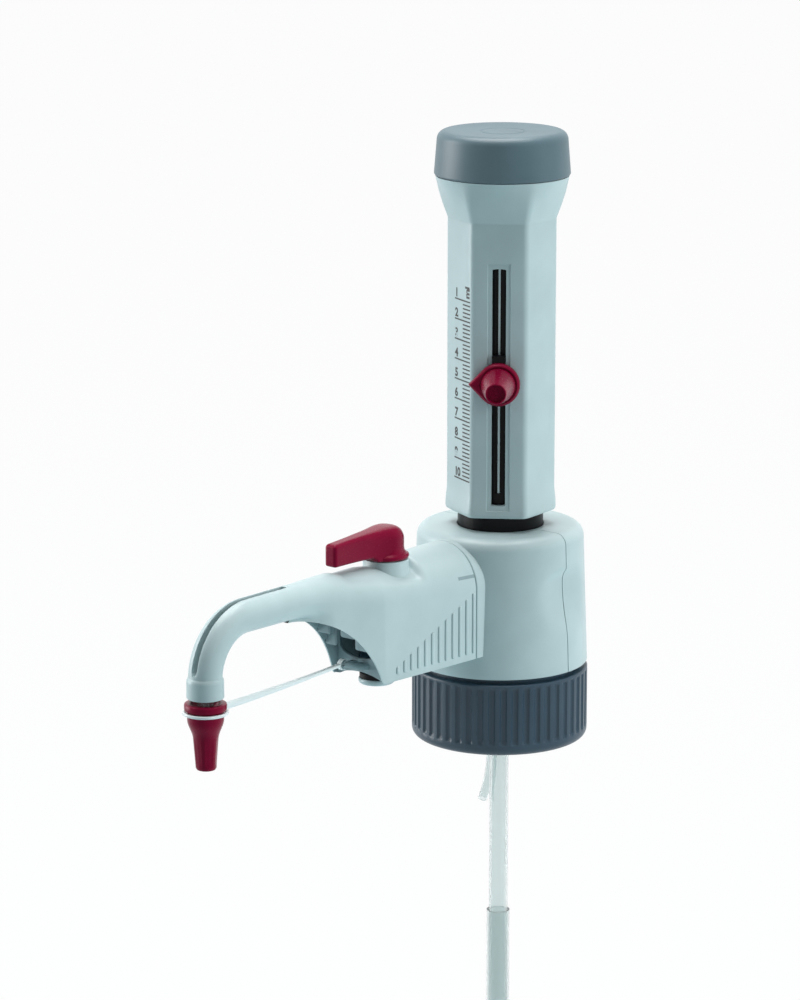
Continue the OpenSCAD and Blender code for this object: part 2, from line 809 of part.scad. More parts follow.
module plug_rings() {
    color(FKM) translate([lever_x, 0, 0]) for (z = ring_zs) translate([0, 0, z])
        rotate_extrude() translate([plug_r - ring_groove / 2, 0])
            circle(r = ring_groove / 2 - 0.01, $fn = 24);
}

module switch_foot() {
    color(light_grey) translate([lever_x, 0, foot_z]) difference() {
        union() {
            translate([foot_off, 0, 0]) cylinder(r = foot_r, h = foot_t);
            cylinder(r = stem_foot_r, h = switch_z - foot_z);
        }
        translate([0, 0, foot_t]) cylinder(r = spindle_r + run, h = 10);
    }
}

// The lever's disc, and its handle: its plan from above, cut to its side view
module lever() {
    color(red) translate([lever_x, 0, 0]) difference() {
        union() {
            translate([0, 0, lever_z]) cylinder(r = lever_disc_r, h = disc_t);
            intersection() {
                translate([0, 0, lever_z]) linear_extrude(lever_h + 4) hull() {
                    circle(r = lever_hub_r);
                    translate([lever_reach - lever_tip_r, 0]) circle(r = lever_tip_r, $fn = 32);
                }
                rotate([90, 0, 0]) translate([0, 0, -20]) linear_extrude(40) polygon(concat(
                    [[-10, lever_z], [lever_hub_r + 3, lever_z], [lever_hub_r + 6, handle_z],
                     [lever_reach + 2, handle_z], [lever_reach + 2, lever_top - 1.7]],
                    [[12, lever_top - 0.7], [3, lever_top], [-1, lever_top - 0.2], [-4, lever_top - 1.8],
                     [-7, lever_top - 4.4]]
                ));
            }
        }
        translate([0, 0, lever_z - 1]) cylinder(r = spindle_top_r, h = 5.01);
        cylinder(r = screw_r + screw_play, h = lever_top);
        translate([0, 0, lever_top - head_sink]) cylinder(r = head_r + screw_play, h = 5);
    }
}

module lever_screw() {
    color(steel) translate([lever_x, 0, 0]) difference() {
        union() {
            translate([0, 0, lever_z - 2]) cylinder(r = screw_r, h = lever_top - head_sink - lever_z + 2.1);
            translate([0, 0, lever_top - head_sink]) cylinder(r = head_r, h = head_t);
        }
        translate([-2, -screw_slot / 2, lever_top - head_sink + head_t / 2]) cube([4, screw_slot, 2]);
    }
}

// Hollow arm: a tapering arch, then a round spout with its bend and nozzle
module arm_cover() {
    color(light_grey) {
        difference() {
            union() {
                difference() {
                    arm_loft([flange_x + seam, arm_flat_x, each arch_xs], 0, 0);
                    arm_loft([flange_x, arm_flat_x, for (x = arch_xs) x - 1], arm_wall, arm_low - 5);
                }
                rod_x(spout_r, spout_x - 6, bend_x, out_z);
                grip_ribs();
                for (i = [0:1]) mouth_wall(wall_xs[i], wall_gaps[i]);
                strap_fork();
                // Boss under the lever's disc
                translate([lever_x, 0, arm_top - boss_up])
                    cylinder(r = lever_disc_r - 0.2, h = boss_up - 0.1);
            }
            rod_x(outlet_boss_r + run, lever_x, arm_mid_x + 1, out_z);
            // Way of the discharge tube, with the open slot along its outside
            rod_x(guide_r, arm_mid_x, bend_x + 1, out_z);
            translate([spout_x + 1, -tube_slot_w / 2, out_z]) cube([bend_x - spout_x, tube_slot_w, 20]);
            // Passage of the lever's spindle
            translate([lever_x, 0, arm_top - 10]) cylinder(r = switch_neck_r + 0.2, h = 20);
        }
        translate([bend_x, 0, bend_z]) rotate([90, 0, 0]) {
            rotate_extrude(angle = 90 - slot_end, start = slot_end) spout_section(true);
            rotate_extrude(angle = slot_end) spout_section(false);
        }
        translate([nozzle_x, 0, nozzle_z]) difference() {
            union() {
                cylinder(r = spout_r, h = bend_z - nozzle_z);
                cylinder(r = nozzle_r, h = nozzle_h);
            }
            translate([0, 0, -1]) cylinder(r = guide_r, h = bend_z - nozzle_z + 2);
            translate([0, 0, bend_z - nozzle_z]) cylinder(r = spout_r - 0.6, h = 10);
        }
    }
}

// Section of the spout's bend, at its distance from the bend's centre
module spout_section(slotted) {
    translate([bend_r, 0]) difference() {
        circle(r = spout_r);
        circle(r = guide_r);
        if (slotted) translate([0, -tube_slot_w / 2]) square([spout_r + 1, tube_slot_w]);
    }
}

// Cross wall in the arm's mouth, with a gap in the middle
module mouth_wall(x, gap) {
    difference() {
        arch_slice(x, half_width(x), arm_wall - 0.3, wall_t, low_edge(x + wall_t));
        translate([x - 1, -gap, arm_low]) cube([wall_t + 2, 2 * gap, out_z - arm_low]);
    }
}

module grip_ribs() {
    for (s = [-1, 1]) for (i = [0:rib_count - 1]) {
        x = rib_x + i * rib_pitch;
        h = rib_least + (rib_count - 1 - i) * rib_step;
        translate([x, s * (half_width(x) + (rib_out - rib_sink) / 2) - (rib_sink + rib_out) / 2, rib_low])
            cube([rib_w, rib_sink + rib_out, h]);
    }
}

// Dished front wall across the arm's mouth, with the fork and pin that hold the strap's eye
module strap_fork() {
    front_w = 2 * arm_mid_w - arm_wall;
    difference() {
        translate([fork_x, -front_w / 2, arm_low + 1]) cube([wall_t, front_w, dish_top - arm_low - 1]);
        rod_x(dish_r, fork_x - 1, fork_x + wall_t + 1, post_z + 0.2 + dish_r);
    }
    difference() {
        translate([fork_x + 0.4, -fork_w / 2, post_z - post_r + 0.2])
            cube([post_x - fork_x - 0.4, fork_w, 2 * post_r - 0.4]);
        translate([post_x - post_r - strap_t - 0.5, -fork_slot / 2, post_z - 3]) cube([10, fork_slot, 6]);
    }
    translate([post_x, fork_w / 2, post_z]) rotate([90, 0, 0]) cylinder(r = post_r, h = fork_w);
}

module discharge_tube() {
    start = lever_x + switch_r + 0.8;
    nipple_end = lever_x + switch_r + outlet_l;
    color(clear) {
        difference() {
            rod_x(tube_r, start, bend_x, out_z);
            rod_x(outlet_r, start - 1, nipple_end, out_z);
            rod_x(port_r, start - 1, bend_x + 1, out_z);
        }
        translate([bend_x, 0, bend_z]) rotate([90, 0, 0]) rotate_extrude(angle = 90)
            translate([bend_r, 0]) difference() {
                circle(r = tube_r);
                circle(r = port_r);
            }
        translate([nozzle_x, 0, 0]) rotate_extrude() polygon([
            [port_r, tip_z], [tip_r - 0.2, tip_z], [tip_r, tip_z + tip_l], [tube_r, tip_z + tip_l],
            [tube_r, bend_z], [port_r, bend_z]
        ]);
    }
}

module discharge_cap() {
    foot = lip_z - dcap_l;
    waist = foot + 9.9;
    shoulder = foot + 15.2;
    lip_low = lip_z - 2.1;
    bore = tube_r + 0.35;
    tip_bore = tip_r + 0.25;
    color(red) translate([nozzle_x, 0, 0]) rotate_extrude() polygon([
        [0, foot], [dcap_end_r - 0.5, foot], [dcap_end_r, foot + 0.5], [dcap_waist_r, waist],
        [dcap_neck_r, shoulder], [dcap_neck_r, lip_low], [lip_r - 0.3, lip_low],
        [lip_r, lip_low + 0.4], [lip_r, lip_z - 0.4], [lip_r - 0.4, lip_z], [dcap_neck_r - 0.8, lip_z],
        [bore, lip_z - 4], [bore, tip_z + tip_l - 0.3], [tip_bore, tip_z + tip_l - 0.8],
        [tip_bore, tip_z - 0.3], [0, tip_z - 0.3]
    ]);
}

module cap_strap() {
    ring_in = dcap_neck_r + ring_gap;
    eye_r = post_r + 0.15;
    band_x = nozzle_x - ring_in - strap_t / 2;
    rise = post_z - strap_z;
    run_x = band_x - post_x - post_r - strap_t / 2;
    color(clear) {
        translate([nozzle_x, 0, strap_z]) tube(ring_in + strap_t, strap_t, -strap_t / 2, strap_t / 2);
        translate([post_x, 0, post_z]) rotate([90, 0, 0]) translate([0, 0, -strap_w / 2]) difference() {
            cylinder(r = eye_r + strap_t, h = strap_w, $fn = 32);
            translate([0, 0, -1]) cylinder(r = eye_r, h = strap_w + 2, $fn = 32);
        }
        translate([band_x, 0, strap_z]) rotate([0, atan2(rise, run_x) - 180, 0])
            translate([0, -strap_w / 2, -strap_t / 2]) cube([norm([rise, run_x]), strap_w, strap_t]);
    }
}

// Distance of a rounded hexagon's edge from its centre, off degrees away from the middle of a face
function hex_edge(flats, off) =
    let (a = flats / 2, tangent = atan((a - hex_corner) * tan(30) / a), d = (a - hex_corner) / cos(30))
    off <= tangent
        ? a / cos(off)
        : d * cos(30 - off) + sqrt(pow(hex_corner, 2) - pow(d * sin(30 - off), 2));

// Directions of a hexagonal ring's points: close together at the corners
hex_offs = [0, 10, 20, 24, 26, 28, 30, 32, 34, 36, 40, 50];

// A ring of the sleeve: k is 0 for the hexagon and 1 for the flare's circle
function hex_ring(flats, k, z) = [for (f = [0:5]) for (o = hex_offs)
    let (a = f * 60 + o, r = (1 - k) * hex_edge(flats, min(o, 60 - o)) + k * flare_r)
        [r * cos(a), r * sin(a), z]];

module hex_sleeve() {
    rings = [
        hex_ring(hex_flats + foot_out - 1.6, 0, hex_z), hex_ring(hex_flats + foot_out, 0, hex_z + 0.8),
        hex_ring(hex_flats + foot_out * 0.8, 0, hex_z + foot_h * 0.6), hex_ring(hex_flats, 0, hex_z + foot_h),
        hex_ring(hex_flats, 0, flare_z), hex_ring(hex_flats, 1, cap_z)
    ];
    color(light_grey) rotate([0, 0, slot_az]) difference() {
        sweep(rings);
        translate([0, 0, hex_z - 1]) cylinder(r = sleeve_bore_r, h = web_low - hex_z + 1);
        translate([0, 0, web_low]) cylinder(r = rod_end_r + run, h = 40);
        translate([0, 0, web_low + web_t]) cylinder(r = counterbore_r, h = 40);
        // Slot, its shallow recess outside and the pointer's guide inside
        translate([0, -slot_w / 2, hex_z + slot_z]) cube([40, slot_w, slot_l]);
        translate([face_d - recess_d, -recess_w / 2, guide_z]) cube([10, recess_w, guide_l]);
        translate([0, -slide_w / 2, guide_z]) cube([sleeve_bore_r + slide_d, slide_w, guide_l]);
    }
}

module top_cap() {
    top = cap_z + cap_h;
    plug_out_r = counterbore_r - run;
    plug_in_r = plug_out_r - cap_wall;
    color(cap_grey) difference() {
        rotate_extrude() polygon(concat(
            [[plug_in_r, cap_z - cap_plug], [plug_out_r, cap_z - cap_plug],
             [plug_out_r, cap_z], [cap_r - 0.6, cap_z], [cap_r, cap_z + 0.6]],
            arc([cap_r - cap_draft - cap_edge, top - cap_edge], cap_edge, 0, 90, 8),
            [[cap_r - 7, top], [0, top - cap_dish], [0, top - cap_dish - cap_wall],
             [plug_in_r, top - cap_wall - 1]]
        ));
        // Fine ring around the middle of the top
        translate([0, 0, top - 2 * cap_dish]) difference() {
            cylinder(r = cap_ring_r, h = 3);
            translate([0, 0, -1]) cylinder(r = cap_ring_r - 0.4, h = 5);
        }
    }
}

module piston_rod() {
    color(steel) {
        translate([0, 0, piston_z + rod_seat_z]) cylinder(r = rod_seat_r, h = piston_l);
        translate([0, 0, piston_z + piston_l]) cylinder(r = rod_r, h = web_low - piston_z - piston_l);
        translate([0, 0, web_low - rod_collar_t]) cylinder(r = rod_r + 2.4, h = rod_collar_t);
        translate([0, 0, web_low - 1]) cylinder(r = rod_end_r, h = web_t + nut_t + 3);
    }
}

module piston_head() {
    r = barrel_bore / 2 - piston_play;
    edge = 0.8;
    color(ptfe) translate([0, 0, piston_z]) difference() {
        union() {
            cylinder(r1 = r - edge, r2 = r, h = edge);
            translate([0, 0, edge]) cylinder(r = r, h = piston_l - edge);
        }
        translate([0, 0, rod_seat_z]) cylinder(r = rod_seat_r, h = piston_l);
        for (z = lip_zs) translate([0, 0, z]) difference() {
            cylinder(r = r + 1, h = lip_t);
            translate([0, 0, -1]) cylinder(r = r - lip_groove, h = lip_t + 2);
        }
    }
}

module piston_lips() {
    wall = lip_groove + piston_play - lip_play;
    color(FKM) for (z = lip_zs)
        translate([0, 0, piston_z]) tube(barrel_bore / 2 - lip_play, wall, z, z + lip_t);
}

module calibration_nut() {
    color(ptfe) difference() {
        translate([0, 0, web_low + web_t]) cylinder(r = nut_r, h = nut_t, $fn = 6);
        translate([0, 0, web_low]) cylinder(r = rod_end_r, h = 20);
    }
}

module lock_disc() {
    color(red) translate([0, 0, web_low + web_t + nut_t]) difference() {
        cylinder(r = lock_r, h = lock_t);
        translate([0, 0, -1]) cylinder(r = rod_end_r + run, h = lock_t + 2);
    }
}

// Places the pointer's pieces: x out of the sleeve's face, z up from the pointer's height
module at_pointer() {
    rotate([0, 0, slot_az]) translate([0, 0, pointer_z]) children();
}

module pointer_plate() {
    tip_round = 0.3;
    color(red) at_pointer() translate([face_d + plate_gap, 0, 0]) rotate([90, 0, 90]) difference() {
        linear_extrude(pointer_t) hull() {
            circle(r = pointer_r);
            translate([-pointer_tip + tip_round, 0]) circle(r = tip_round, $fn = 16);
        }
        translate([0, 0, -1]) cylinder(r = stem_r + 0.06, h = pointer_t + 2);
        translate([0, 0, pointer_t - 0.5]) difference() {
            cylinder(r = pointer_r - 0.7, h = 1);
            translate([0, 0, -1]) cylinder(r = thumb_base_r - 0.1, h = 3);
        }
    }
}

// A bar of the clamp block in a guide of the given width, from low up to the block's top
module block_bar(from, to, w, low) {
    translate([from, -w / 2 + slide_play, low]) cube([to - from, w - 2 * slide_play, block_up - low]);
}

module clamp_block() {
    low = inner_sleeve_r + 0.12;
    color(black) at_pointer() difference() {
        union() {
            block_bar(low, face_d + plate_gap, slot_w, -block_down);
            block_bar(low, low + shoulder_t, slide_w, -block_down);
            block_bar(groove_r + 0.1, inner_sleeve_r + 0.6, groove_w, block_up - tongue_l);
        }
        translate([groove_r - 1, -rail_w / 2 - slide_play, -20])
            cube([rail_d + 1 + slide_play, rail_w + 2 * slide_play, 40]);
        translate([low + 0.3, 0, 0]) rotate([0, 90, 0]) cylinder(r = stem_r + run, h = 10);
    }
}

module thumb_screw() {
    plate = face_d + plate_gap + pointer_t;
    color(red) at_pointer() difference() {
        union() {
            rod_x(stem_r, inner_sleeve_r + 0.5, plate + 0.5);
            translate([plate + 0.1, 0, 0]) rotate([0, 90, 0])
                cylinder(r1 = thumb_base_r, r2 = thumb_end_r, h = thumb_l);
        }
        rod_x(thumb_end_r - 0.8, plate + thumb_l - 0.5, plate + thumb_l + 2.5);
    }
}

thread_collar();
lip_seal();
valve_block();
front_shell();
rear_shell();
glass_cylinder();
cylinder_seal();
cylinder_sleeve();
stop_rail();
safety_ring();
filling_valve();
filling_valve_seal();
filling_ball();
filling_tube();
telescopic_tube();
return_tube();
return_pipe();
union_nut();
discharge_valve();
discharge_seal();
discharge_ball();
discharge_spring();
switch_body();
switch_plug();
plug_rings();
switch_foot();
lever();
lever_screw();
arm_cover();
discharge_tube();
discharge_cap();
cap_strap();
hex_sleeve();
top_cap();
piston_rod();
piston_head();
piston_lips();
calibration_nut();
lock_disc();
pointer_plate();
clamp_block();
thumb_screw();
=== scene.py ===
import math

import bmesh
import bpy
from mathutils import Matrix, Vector


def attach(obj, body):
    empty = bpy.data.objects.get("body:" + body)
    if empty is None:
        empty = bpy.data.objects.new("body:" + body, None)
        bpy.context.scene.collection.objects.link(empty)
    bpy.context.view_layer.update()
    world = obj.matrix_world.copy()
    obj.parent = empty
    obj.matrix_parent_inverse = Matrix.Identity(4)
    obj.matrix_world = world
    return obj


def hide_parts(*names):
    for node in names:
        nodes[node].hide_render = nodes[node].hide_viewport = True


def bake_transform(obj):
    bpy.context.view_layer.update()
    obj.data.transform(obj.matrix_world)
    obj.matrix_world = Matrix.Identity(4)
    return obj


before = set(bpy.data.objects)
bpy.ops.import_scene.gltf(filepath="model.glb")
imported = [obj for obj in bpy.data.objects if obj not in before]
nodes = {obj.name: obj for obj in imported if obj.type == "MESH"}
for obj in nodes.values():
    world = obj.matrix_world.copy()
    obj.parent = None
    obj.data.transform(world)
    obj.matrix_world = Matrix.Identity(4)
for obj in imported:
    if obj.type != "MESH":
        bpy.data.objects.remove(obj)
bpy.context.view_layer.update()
mm = 0.001
print("stage: frame loaded,", len(nodes), "nodes")


# Colours and nodes
def hexColour(code):
    values = [int(code[i:i + 2], 16) / 255 for i in (1, 3, 5)]
    return tuple(v / 12.92 if v <= 0.04045 else ((v + 0.055) / 1.055) ** 2.4 for v in values) + (1.0,)


def addNode(tree, kind, settings=None, inputs=None):
    node = tree.nodes.new(kind)
    for key, value in (settings or {}).items():
        setattr(node, key, value)
    for key, value in (inputs or {}).items():
        if isinstance(value, bpy.types.NodeSocket):
            tree.links.new(value, node.inputs[key])
        else:
            node.inputs[key].default_value = value
    return node


def newMaterial(name, shaderInputs):
    material = bpy.data.materials.new(name)
    material.use_nodes = True
    tree = material.node_tree
    shader = tree.nodes["Principled BSDF"]
    for key, value in shaderInputs.items():
        shader.inputs[key].default_value = value
    place = addNode(tree, "ShaderNodeTexCoord").outputs["Object"]
    return material, tree, shader, place


def roughen(tree, shader, pattern, roughRange, strength, height):
    # One pattern drives the roughness and a bump of the given height in millimetres
    rough = addNode(tree, "ShaderNodeMapRange", {}, {"Value": pattern, **roughRange})
    bump = addNode(tree, "ShaderNodeBump", {}, {"Height": pattern, "Strength": strength, "Distance": height * mm})
    tree.links.new(rough.outputs["Result"], shader.inputs["Roughness"])
    tree.links.new(bump.outputs["Normal"], shader.inputs["Normal"])


def mouldedPlastic(name, finish):
    # Injection-moulded plastic: a spark-eroded grain breaks up the gloss, and the pigment swirls slightly
    material, tree, shader, place = newMaterial(name, {"IOR": finish.get("ior", 1.49),
                                                       "Specular IOR Level": finish.get("gloss", 0.5),
                                                       "Specular Tint": hexColour(finish.get("tint", "#FFFFFF"))})
    swirl = addNode(tree, "ShaderNodeTexNoise", {}, {"Vector": place, "Scale": 1 / (14 * mm), "Detail": 3.0})
    ramp = addNode(tree, "ShaderNodeValToRGB", {}, {"Fac": swirl.outputs["Fac"]})
    ramp.color_ramp.elements[0].position = 0.3
    ramp.color_ramp.elements[1].position = 0.7
    ramp.color_ramp.elements[0].color = hexColour(finish["deep"])
    ramp.color_ramp.elements[1].color = hexColour(finish["pale"])
    tree.links.new(ramp.outputs["Color"], shader.inputs["Base Color"])
    grain = addNode(tree, "ShaderNodeTexNoise", {}, {"Vector": place, "Scale": 1 / (finish["grain"] * mm),
                                                     "Detail": 2.0}).outputs["Fac"]
    roughen(tree, shader, grain, {"From Min": 0.3, "From Max": 0.7, "To Min": finish["rough"] - 0.02,
                                  "To Max": finish["rough"] + 0.03}, finish["bump"], 0.02)
    return material


# Mesh building, in millimetres
def pieceFromMesh(name, points, faces, material, sharp=35):
    mesh = bpy.data.meshes.new(name)
    mesh.from_pydata([Vector(p) * mm for p in points], [], faces)
    piece = bpy.data.objects.new(name, mesh)
    bpy.context.scene.collection.objects.link(piece)
    builder = bmesh.new()
    builder.from_mesh(mesh)
    bmesh.ops.remove_doubles(builder, verts=builder.verts, dist=0.0005 * mm)
    bmesh.ops.dissolve_degenerate(builder, dist=0.0002 * mm, edges=builder.edges)
    bmesh.ops.recalc_face_normals(builder, faces=builder.faces)
    builder.to_mesh(mesh)
    builder.free()
    mesh.polygons.foreach_set("use_smooth", [True] * len(mesh.polygons))
    mesh.set_sharp_from_angle(angle=math.radians(sharp))
    mesh.materials.append(material)
    return piece


def turns(steps):
    # Angles of a full turn
    return [2 * math.pi * i / steps for i in range(steps)]


def ringFaces(rows, count):
    # Quads between rings of count points
    faces = []
    for r in range(rows - 1):
        for j in range(count):
            k = (j + 1) % count
            faces.append((r * count + j, r * count + k, (r + 1) * count + k, (r + 1) * count + j))
    return faces


class MeshParts:
    # Gathers several closed shells into one piece
    def __init__(self):
        self.points = []
        self.faces = []

    def add(self, points, faces):
        start = len(self.points)
        self.points += [tuple(p) for p in points]
        self.faces += [tuple(start + i for i in face) for face in faces]

    def loft(self, rings, caps=True):
        count = len(rings[0])
        points = [p for ring in rings for p in ring]
        faces = ringFaces(len(rings), count)
        if caps:
            for r, flip in ((0, True), (len(rings) - 1, False)):
                middle = sum((Vector(p) for p in rings[r]), Vector()) / count
                points.append(tuple(middle))
                for j in range(count):
                    k = (j + 1) % count
                    face = (r * count + j, r * count + k, len(points) - 1)
                    faces.append(face[::-1] if flip else face)
        self.add(points, faces)

    def lathe(self, profile, centre=(0, 0), steps=96, closed=True):
        # A closed outline of (radius, z), turned about the vertical through centre
        rings = [[(centre[0] + r * math.cos(a), centre[1] + r * math.sin(a), z) for a in turns(steps)]
                 for r, z in profile]
        if closed:
            rings.append(rings[0])
        self.loft(rings, caps=False)


def arcPoints(centre, radius, start, end, steps):
    return [(centre[0] + radius * math.cos(math.radians(start + (end - start) * i / steps)),
             centre[1] + radius * math.sin(math.radians(start + (end - start) * i / steps))) for i in range(steps + 1)]


def smoothStep(low, high, value):
    t = min(1.0, max(0.0, (value - low) / (high - low)))
    return t * t * (3 - 2 * t)


def finishPiece(piece, body, slot, *replaced):
    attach(piece, body)
    if replaced:
        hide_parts(*replaced)


# Camera
camera = bpy.data.objects.new("camera", bpy.data.cameras.new("camera"))
bpy.context.scene.collection.objects.link(camera)
view = {"place": (0.9278, 0.7513, 0.33263), "turn": 1.477, "tilt": 13.119, "heading": 129.0, "lens": 144.0}
camera.data.lens = view["lens"]
camera.data.sensor_width = 36.0
camera.data.clip_start = 0.01
camera.data.clip_end = 20.0
camera.location = view["place"]
aimAngle = math.radians(90 + view["turn"] + view["heading"])
tilt = math.radians(view["tilt"])
aim = Vector((math.cos(aimAngle) * math.cos(tilt), math.sin(aimAngle) * math.cos(tilt), -math.sin(tilt)))
camera.rotation_euler = aim.to_track_quat("-Z", "Y").to_euler()
bpy.context.scene.camera = camera


# Materials
# Glass-filled polypropylene, satin moulded: soft wide highlights on a cool pale grey
paleGreyPolypropylene = mouldedPlastic("paleGreyPolypropylene", {
    "deep": "#B1C4C6", "pale": "#B9CCCE", "rough": 0.34, "grain": 0.3, "bump": 0.12})
# The same plastic inside the arm, darker as painted shade for the shadowed cavity, and rougher and duller
paintedShadeGreyPolypropylene = mouldedPlastic("paintedShadeGreyPolypropylene", {
    "deep": "#8A9DA1", "pale": "#93A6AA", "rough": 0.6, "grain": 0.4, "bump": 0.25, "gloss": 0.3})
# Polypropylene, matt moulded: a dull blue-grey that only brightens at edges
darkGreyPolypropylene = mouldedPlastic("darkGreyPolypropylene", {
    "deep": "#29404F", "pale": "#314857", "rough": 0.36, "grain": 0.35, "bump": 0.2, "gloss": 0.45})
# The same plastic in a mid grey for the top cap
midGreyPolypropylene = mouldedPlastic("midGreyPolypropylene", {
    "deep": "#4A626B", "pale": "#526A73", "rough": 0.42, "grain": 0.3, "bump": 0.12, "gloss": 0.6})
# ABS, polished mould: deep crimson with tight rosy highlights
crimsonAbs = mouldedPlastic("crimsonAbs", {
    "deep": "#74042A", "pale": "#7C062E", "rough": 0.25, "grain": 0.5, "bump": 0.03, "ior": 1.53, "gloss": 0.3,
    "tint": "#E4788C"})
# PBT, moulded black: deep, with hardly a sheen
blackPbt = mouldedPlastic("blackPbt", {
    "deep": "#08090B", "pale": "#0D0E11", "rough": 0.35, "grain": 0.3, "bump": 0.1, "gloss": 0.12})
# PTFE, turned: waxy white
whitePtfe = mouldedPlastic("whitePtfe", {
    "deep": "#E8E8E4", "pale": "#F2F2EE", "rough": 0.45, "grain": 0.4, "bump": 0.1, "ior": 1.36})
# FKM rubber, moulded: dead matt black
blackFkm = mouldedPlastic("blackFkm", {"deep": "#1B1B1B", "pale": "#252525", "rough": 0.6, "grain": 0.2, "bump": 0.2})
# Screen ink: a thin satin film
scaleInk = mouldedPlastic("scaleInk", {"deep": "#0B0E10", "pale": "#121618", "rough": 0.5, "grain": 0.2, "bump": 0.05})


def clearPlastic(name, finish):
    # Extruded clear plastic: draw lines along the tube ripple what shows through it
    material, tree, shader, place = newMaterial(name, {"Base Color": hexColour(finish["colour"]), "IOR": finish["ior"],
                                                       "Transmission Weight": finish["clear"]})
    stretched = addNode(tree, "ShaderNodeMapping", {}, {"Vector": place, "Scale": (1, 1, 0.02)})
    lines = addNode(tree, "ShaderNodeTexNoise", {}, {"Vector": stretched.outputs["Vector"], "Scale": 1 / (0.5 * mm)})
    roughen(tree, shader, lines.outputs["Fac"], {"To Min": finish["rough"] * 0.7, "To Max": finish["rough"] * 1.3},
            0.04, 0.01)
    return material


# Borosilicate glass, drawn
drawnGlass = clearPlastic("drawnGlass", {"colour": "#F4FAFA", "ior": 1.47, "clear": 1.0, "rough": 0.02})
# PFA tube, extruded: clear with a faint milky cast
extrudedPfa = clearPlastic("extrudedPfa", {"colour": "#EAF1F1", "ior": 1.35, "clear": 0.92, "rough": 0.05})
# Soft polyethylene, moulded: milky, light glows through it
milkyPolyethylene = clearPlastic("milkyPolyethylene", {"colour": "#E9F2F2", "ior": 1.5, "clear": 0.04, "rough": 0.35})


def turnedMetal(name, finish):
    # Turned bar: fine rings from the tool catch the light in bands
    material, tree, shader, place = newMaterial(name, {"Base Color": hexColour(finish["colour"]), "Metallic": 1.0})
    rings = addNode(tree, "ShaderNodeTexWave", {"wave_type": "BANDS", "bands_direction": "Z"},
                    {"Vector": place, "Scale": 1 / (6.28 * finish["pitch"] * mm), "Distortion": 0.5})
    roughen(tree, shader, rings.outputs["Fac"], {"To Min": finish["rough"] - 0.05, "To Max": finish["rough"] + 0.05},
            0.1, 0.01)
    return material


# Stainless steel, turned: pitch drawn at 0.2 mm so that it shows
turnedSteel = turnedMetal("turnedSteel", {"colour": "#C4C6C8", "rough": 0.28, "pitch": 0.2})
# Stainless spring wire, drawn
drawnWire = turnedMetal("drawnWire", {"colour": "#B5B7B9", "rough": 0.3, "pitch": 0.15})
# Aluminium-oxide ball, lapped: smooth off-white
lappedCeramic = mouldedPlastic("lappedCeramic", {"deep": "#E6E2D6", "pale": "#F0ECE2", "rough": 0.12, "grain": 0.3,
                                                 "bump": 0.02, "ior": 1.76})
print("stage: materials made")


# Hexagonal sleeve
sleeveShape = {"flats": 29.4, "corner": 2.4, "crown": 0.14, "foot": 52.0, "footOut": 0.8, "footHeight": 8.0,
               "footEdge": 1.2, "flareStart": 142.1, "flareRadius": 20.2, "top": 154.9, "slotHeading": 36.0,
               "slotHalf": 2.1, "slotLow": 55.9, "slotHigh": 128.6, "slotRound": 0.35, "recessHalf": 3.5,
               "recessDepth": 0.3, "recessMargin": 1.5, "bore": 12.7, "counterbore": 12.6, "rodHole": 3.05,
               "webLow": 144.0, "webHigh": 147.0}


def sleeveOffsets():
    # Places across one face: the slot's and the recess's edges come in close pairs
    s = sleeveShape
    half = s["recessHalf"]
    inner = [0.0, 1.0, 1.7, s["slotHalf"], s["slotHalf"] + 0.12, half - 0.12, half, half + 0.15, 5.6]
    return [-v for v in inner[:0:-1]] + inner


def sleeveTangent():
    # Half the flat width of a face, where the rounded corners start
    s = sleeveShape
    return (s["flats"] / 2 - s["crown"] - s["corner"]) * math.tan(math.radians(30))


def sleeveColumns():
    # (face, place across it or None, heading) for every column round the sleeve
    s = sleeveShape
    tangent = sleeveTangent()
    columns = []
    for f in range(6):
        for u in [-tangent] + sleeveOffsets() + [tangent]:
            columns.append((f, u, None))
        for i in range(1, 6):
            columns.append((f, None, 30 + (i - 3) * 10))
    return columns


def sleeveOuter(column, z):
    s = sleeveShape
    f, u, corner = column
    foot = s["footOut"] * (1 - smoothStep(s["foot"] + 2, s["foot"] + s["footHeight"], z))
    base = z - s["foot"]
    if base < s["footEdge"]:
        foot -= s["footEdge"] - math.sqrt(max(0.0, s["footEdge"] ** 2 - (s["footEdge"] - base) ** 2))
    apothem = s["flats"] / 2 + foot / 2
    k = min(1.0, max(0.0, (z - s["flareStart"]) / (s["top"] - s["flareStart"])))
    if u is None:
        flat = apothem - s["crown"] * (1 - k) - s["corner"]
        x = flat + s["corner"] * math.cos(math.radians(corner))
        y = flat * math.tan(math.radians(30)) + s["corner"] * math.sin(math.radians(corner))
    else:
        x = apothem - s["crown"] * (u / sleeveTangent()) ** 2 * (1 - k)
        y = u * apothem / (s["flats"] / 2)
        if f == 0:
            tall = s["slotLow"] - s["recessMargin"] < z < s["slotHigh"] + s["recessMargin"]
            x -= s["recessDepth"] if tall and abs(u) < s["recessHalf"] - 0.05 else 0.0
    heading = math.atan2(y, x)
    middle = s["flats"] / 2 + 0.7
    radius = middle + (s["flareRadius"] - middle) * k + (math.hypot(x, y) - middle) * (1 - k ** 2.5)
    heading += math.radians(s["slotHeading"] + 60 * f)
    return (radius * math.cos(heading), radius * math.sin(heading), z)


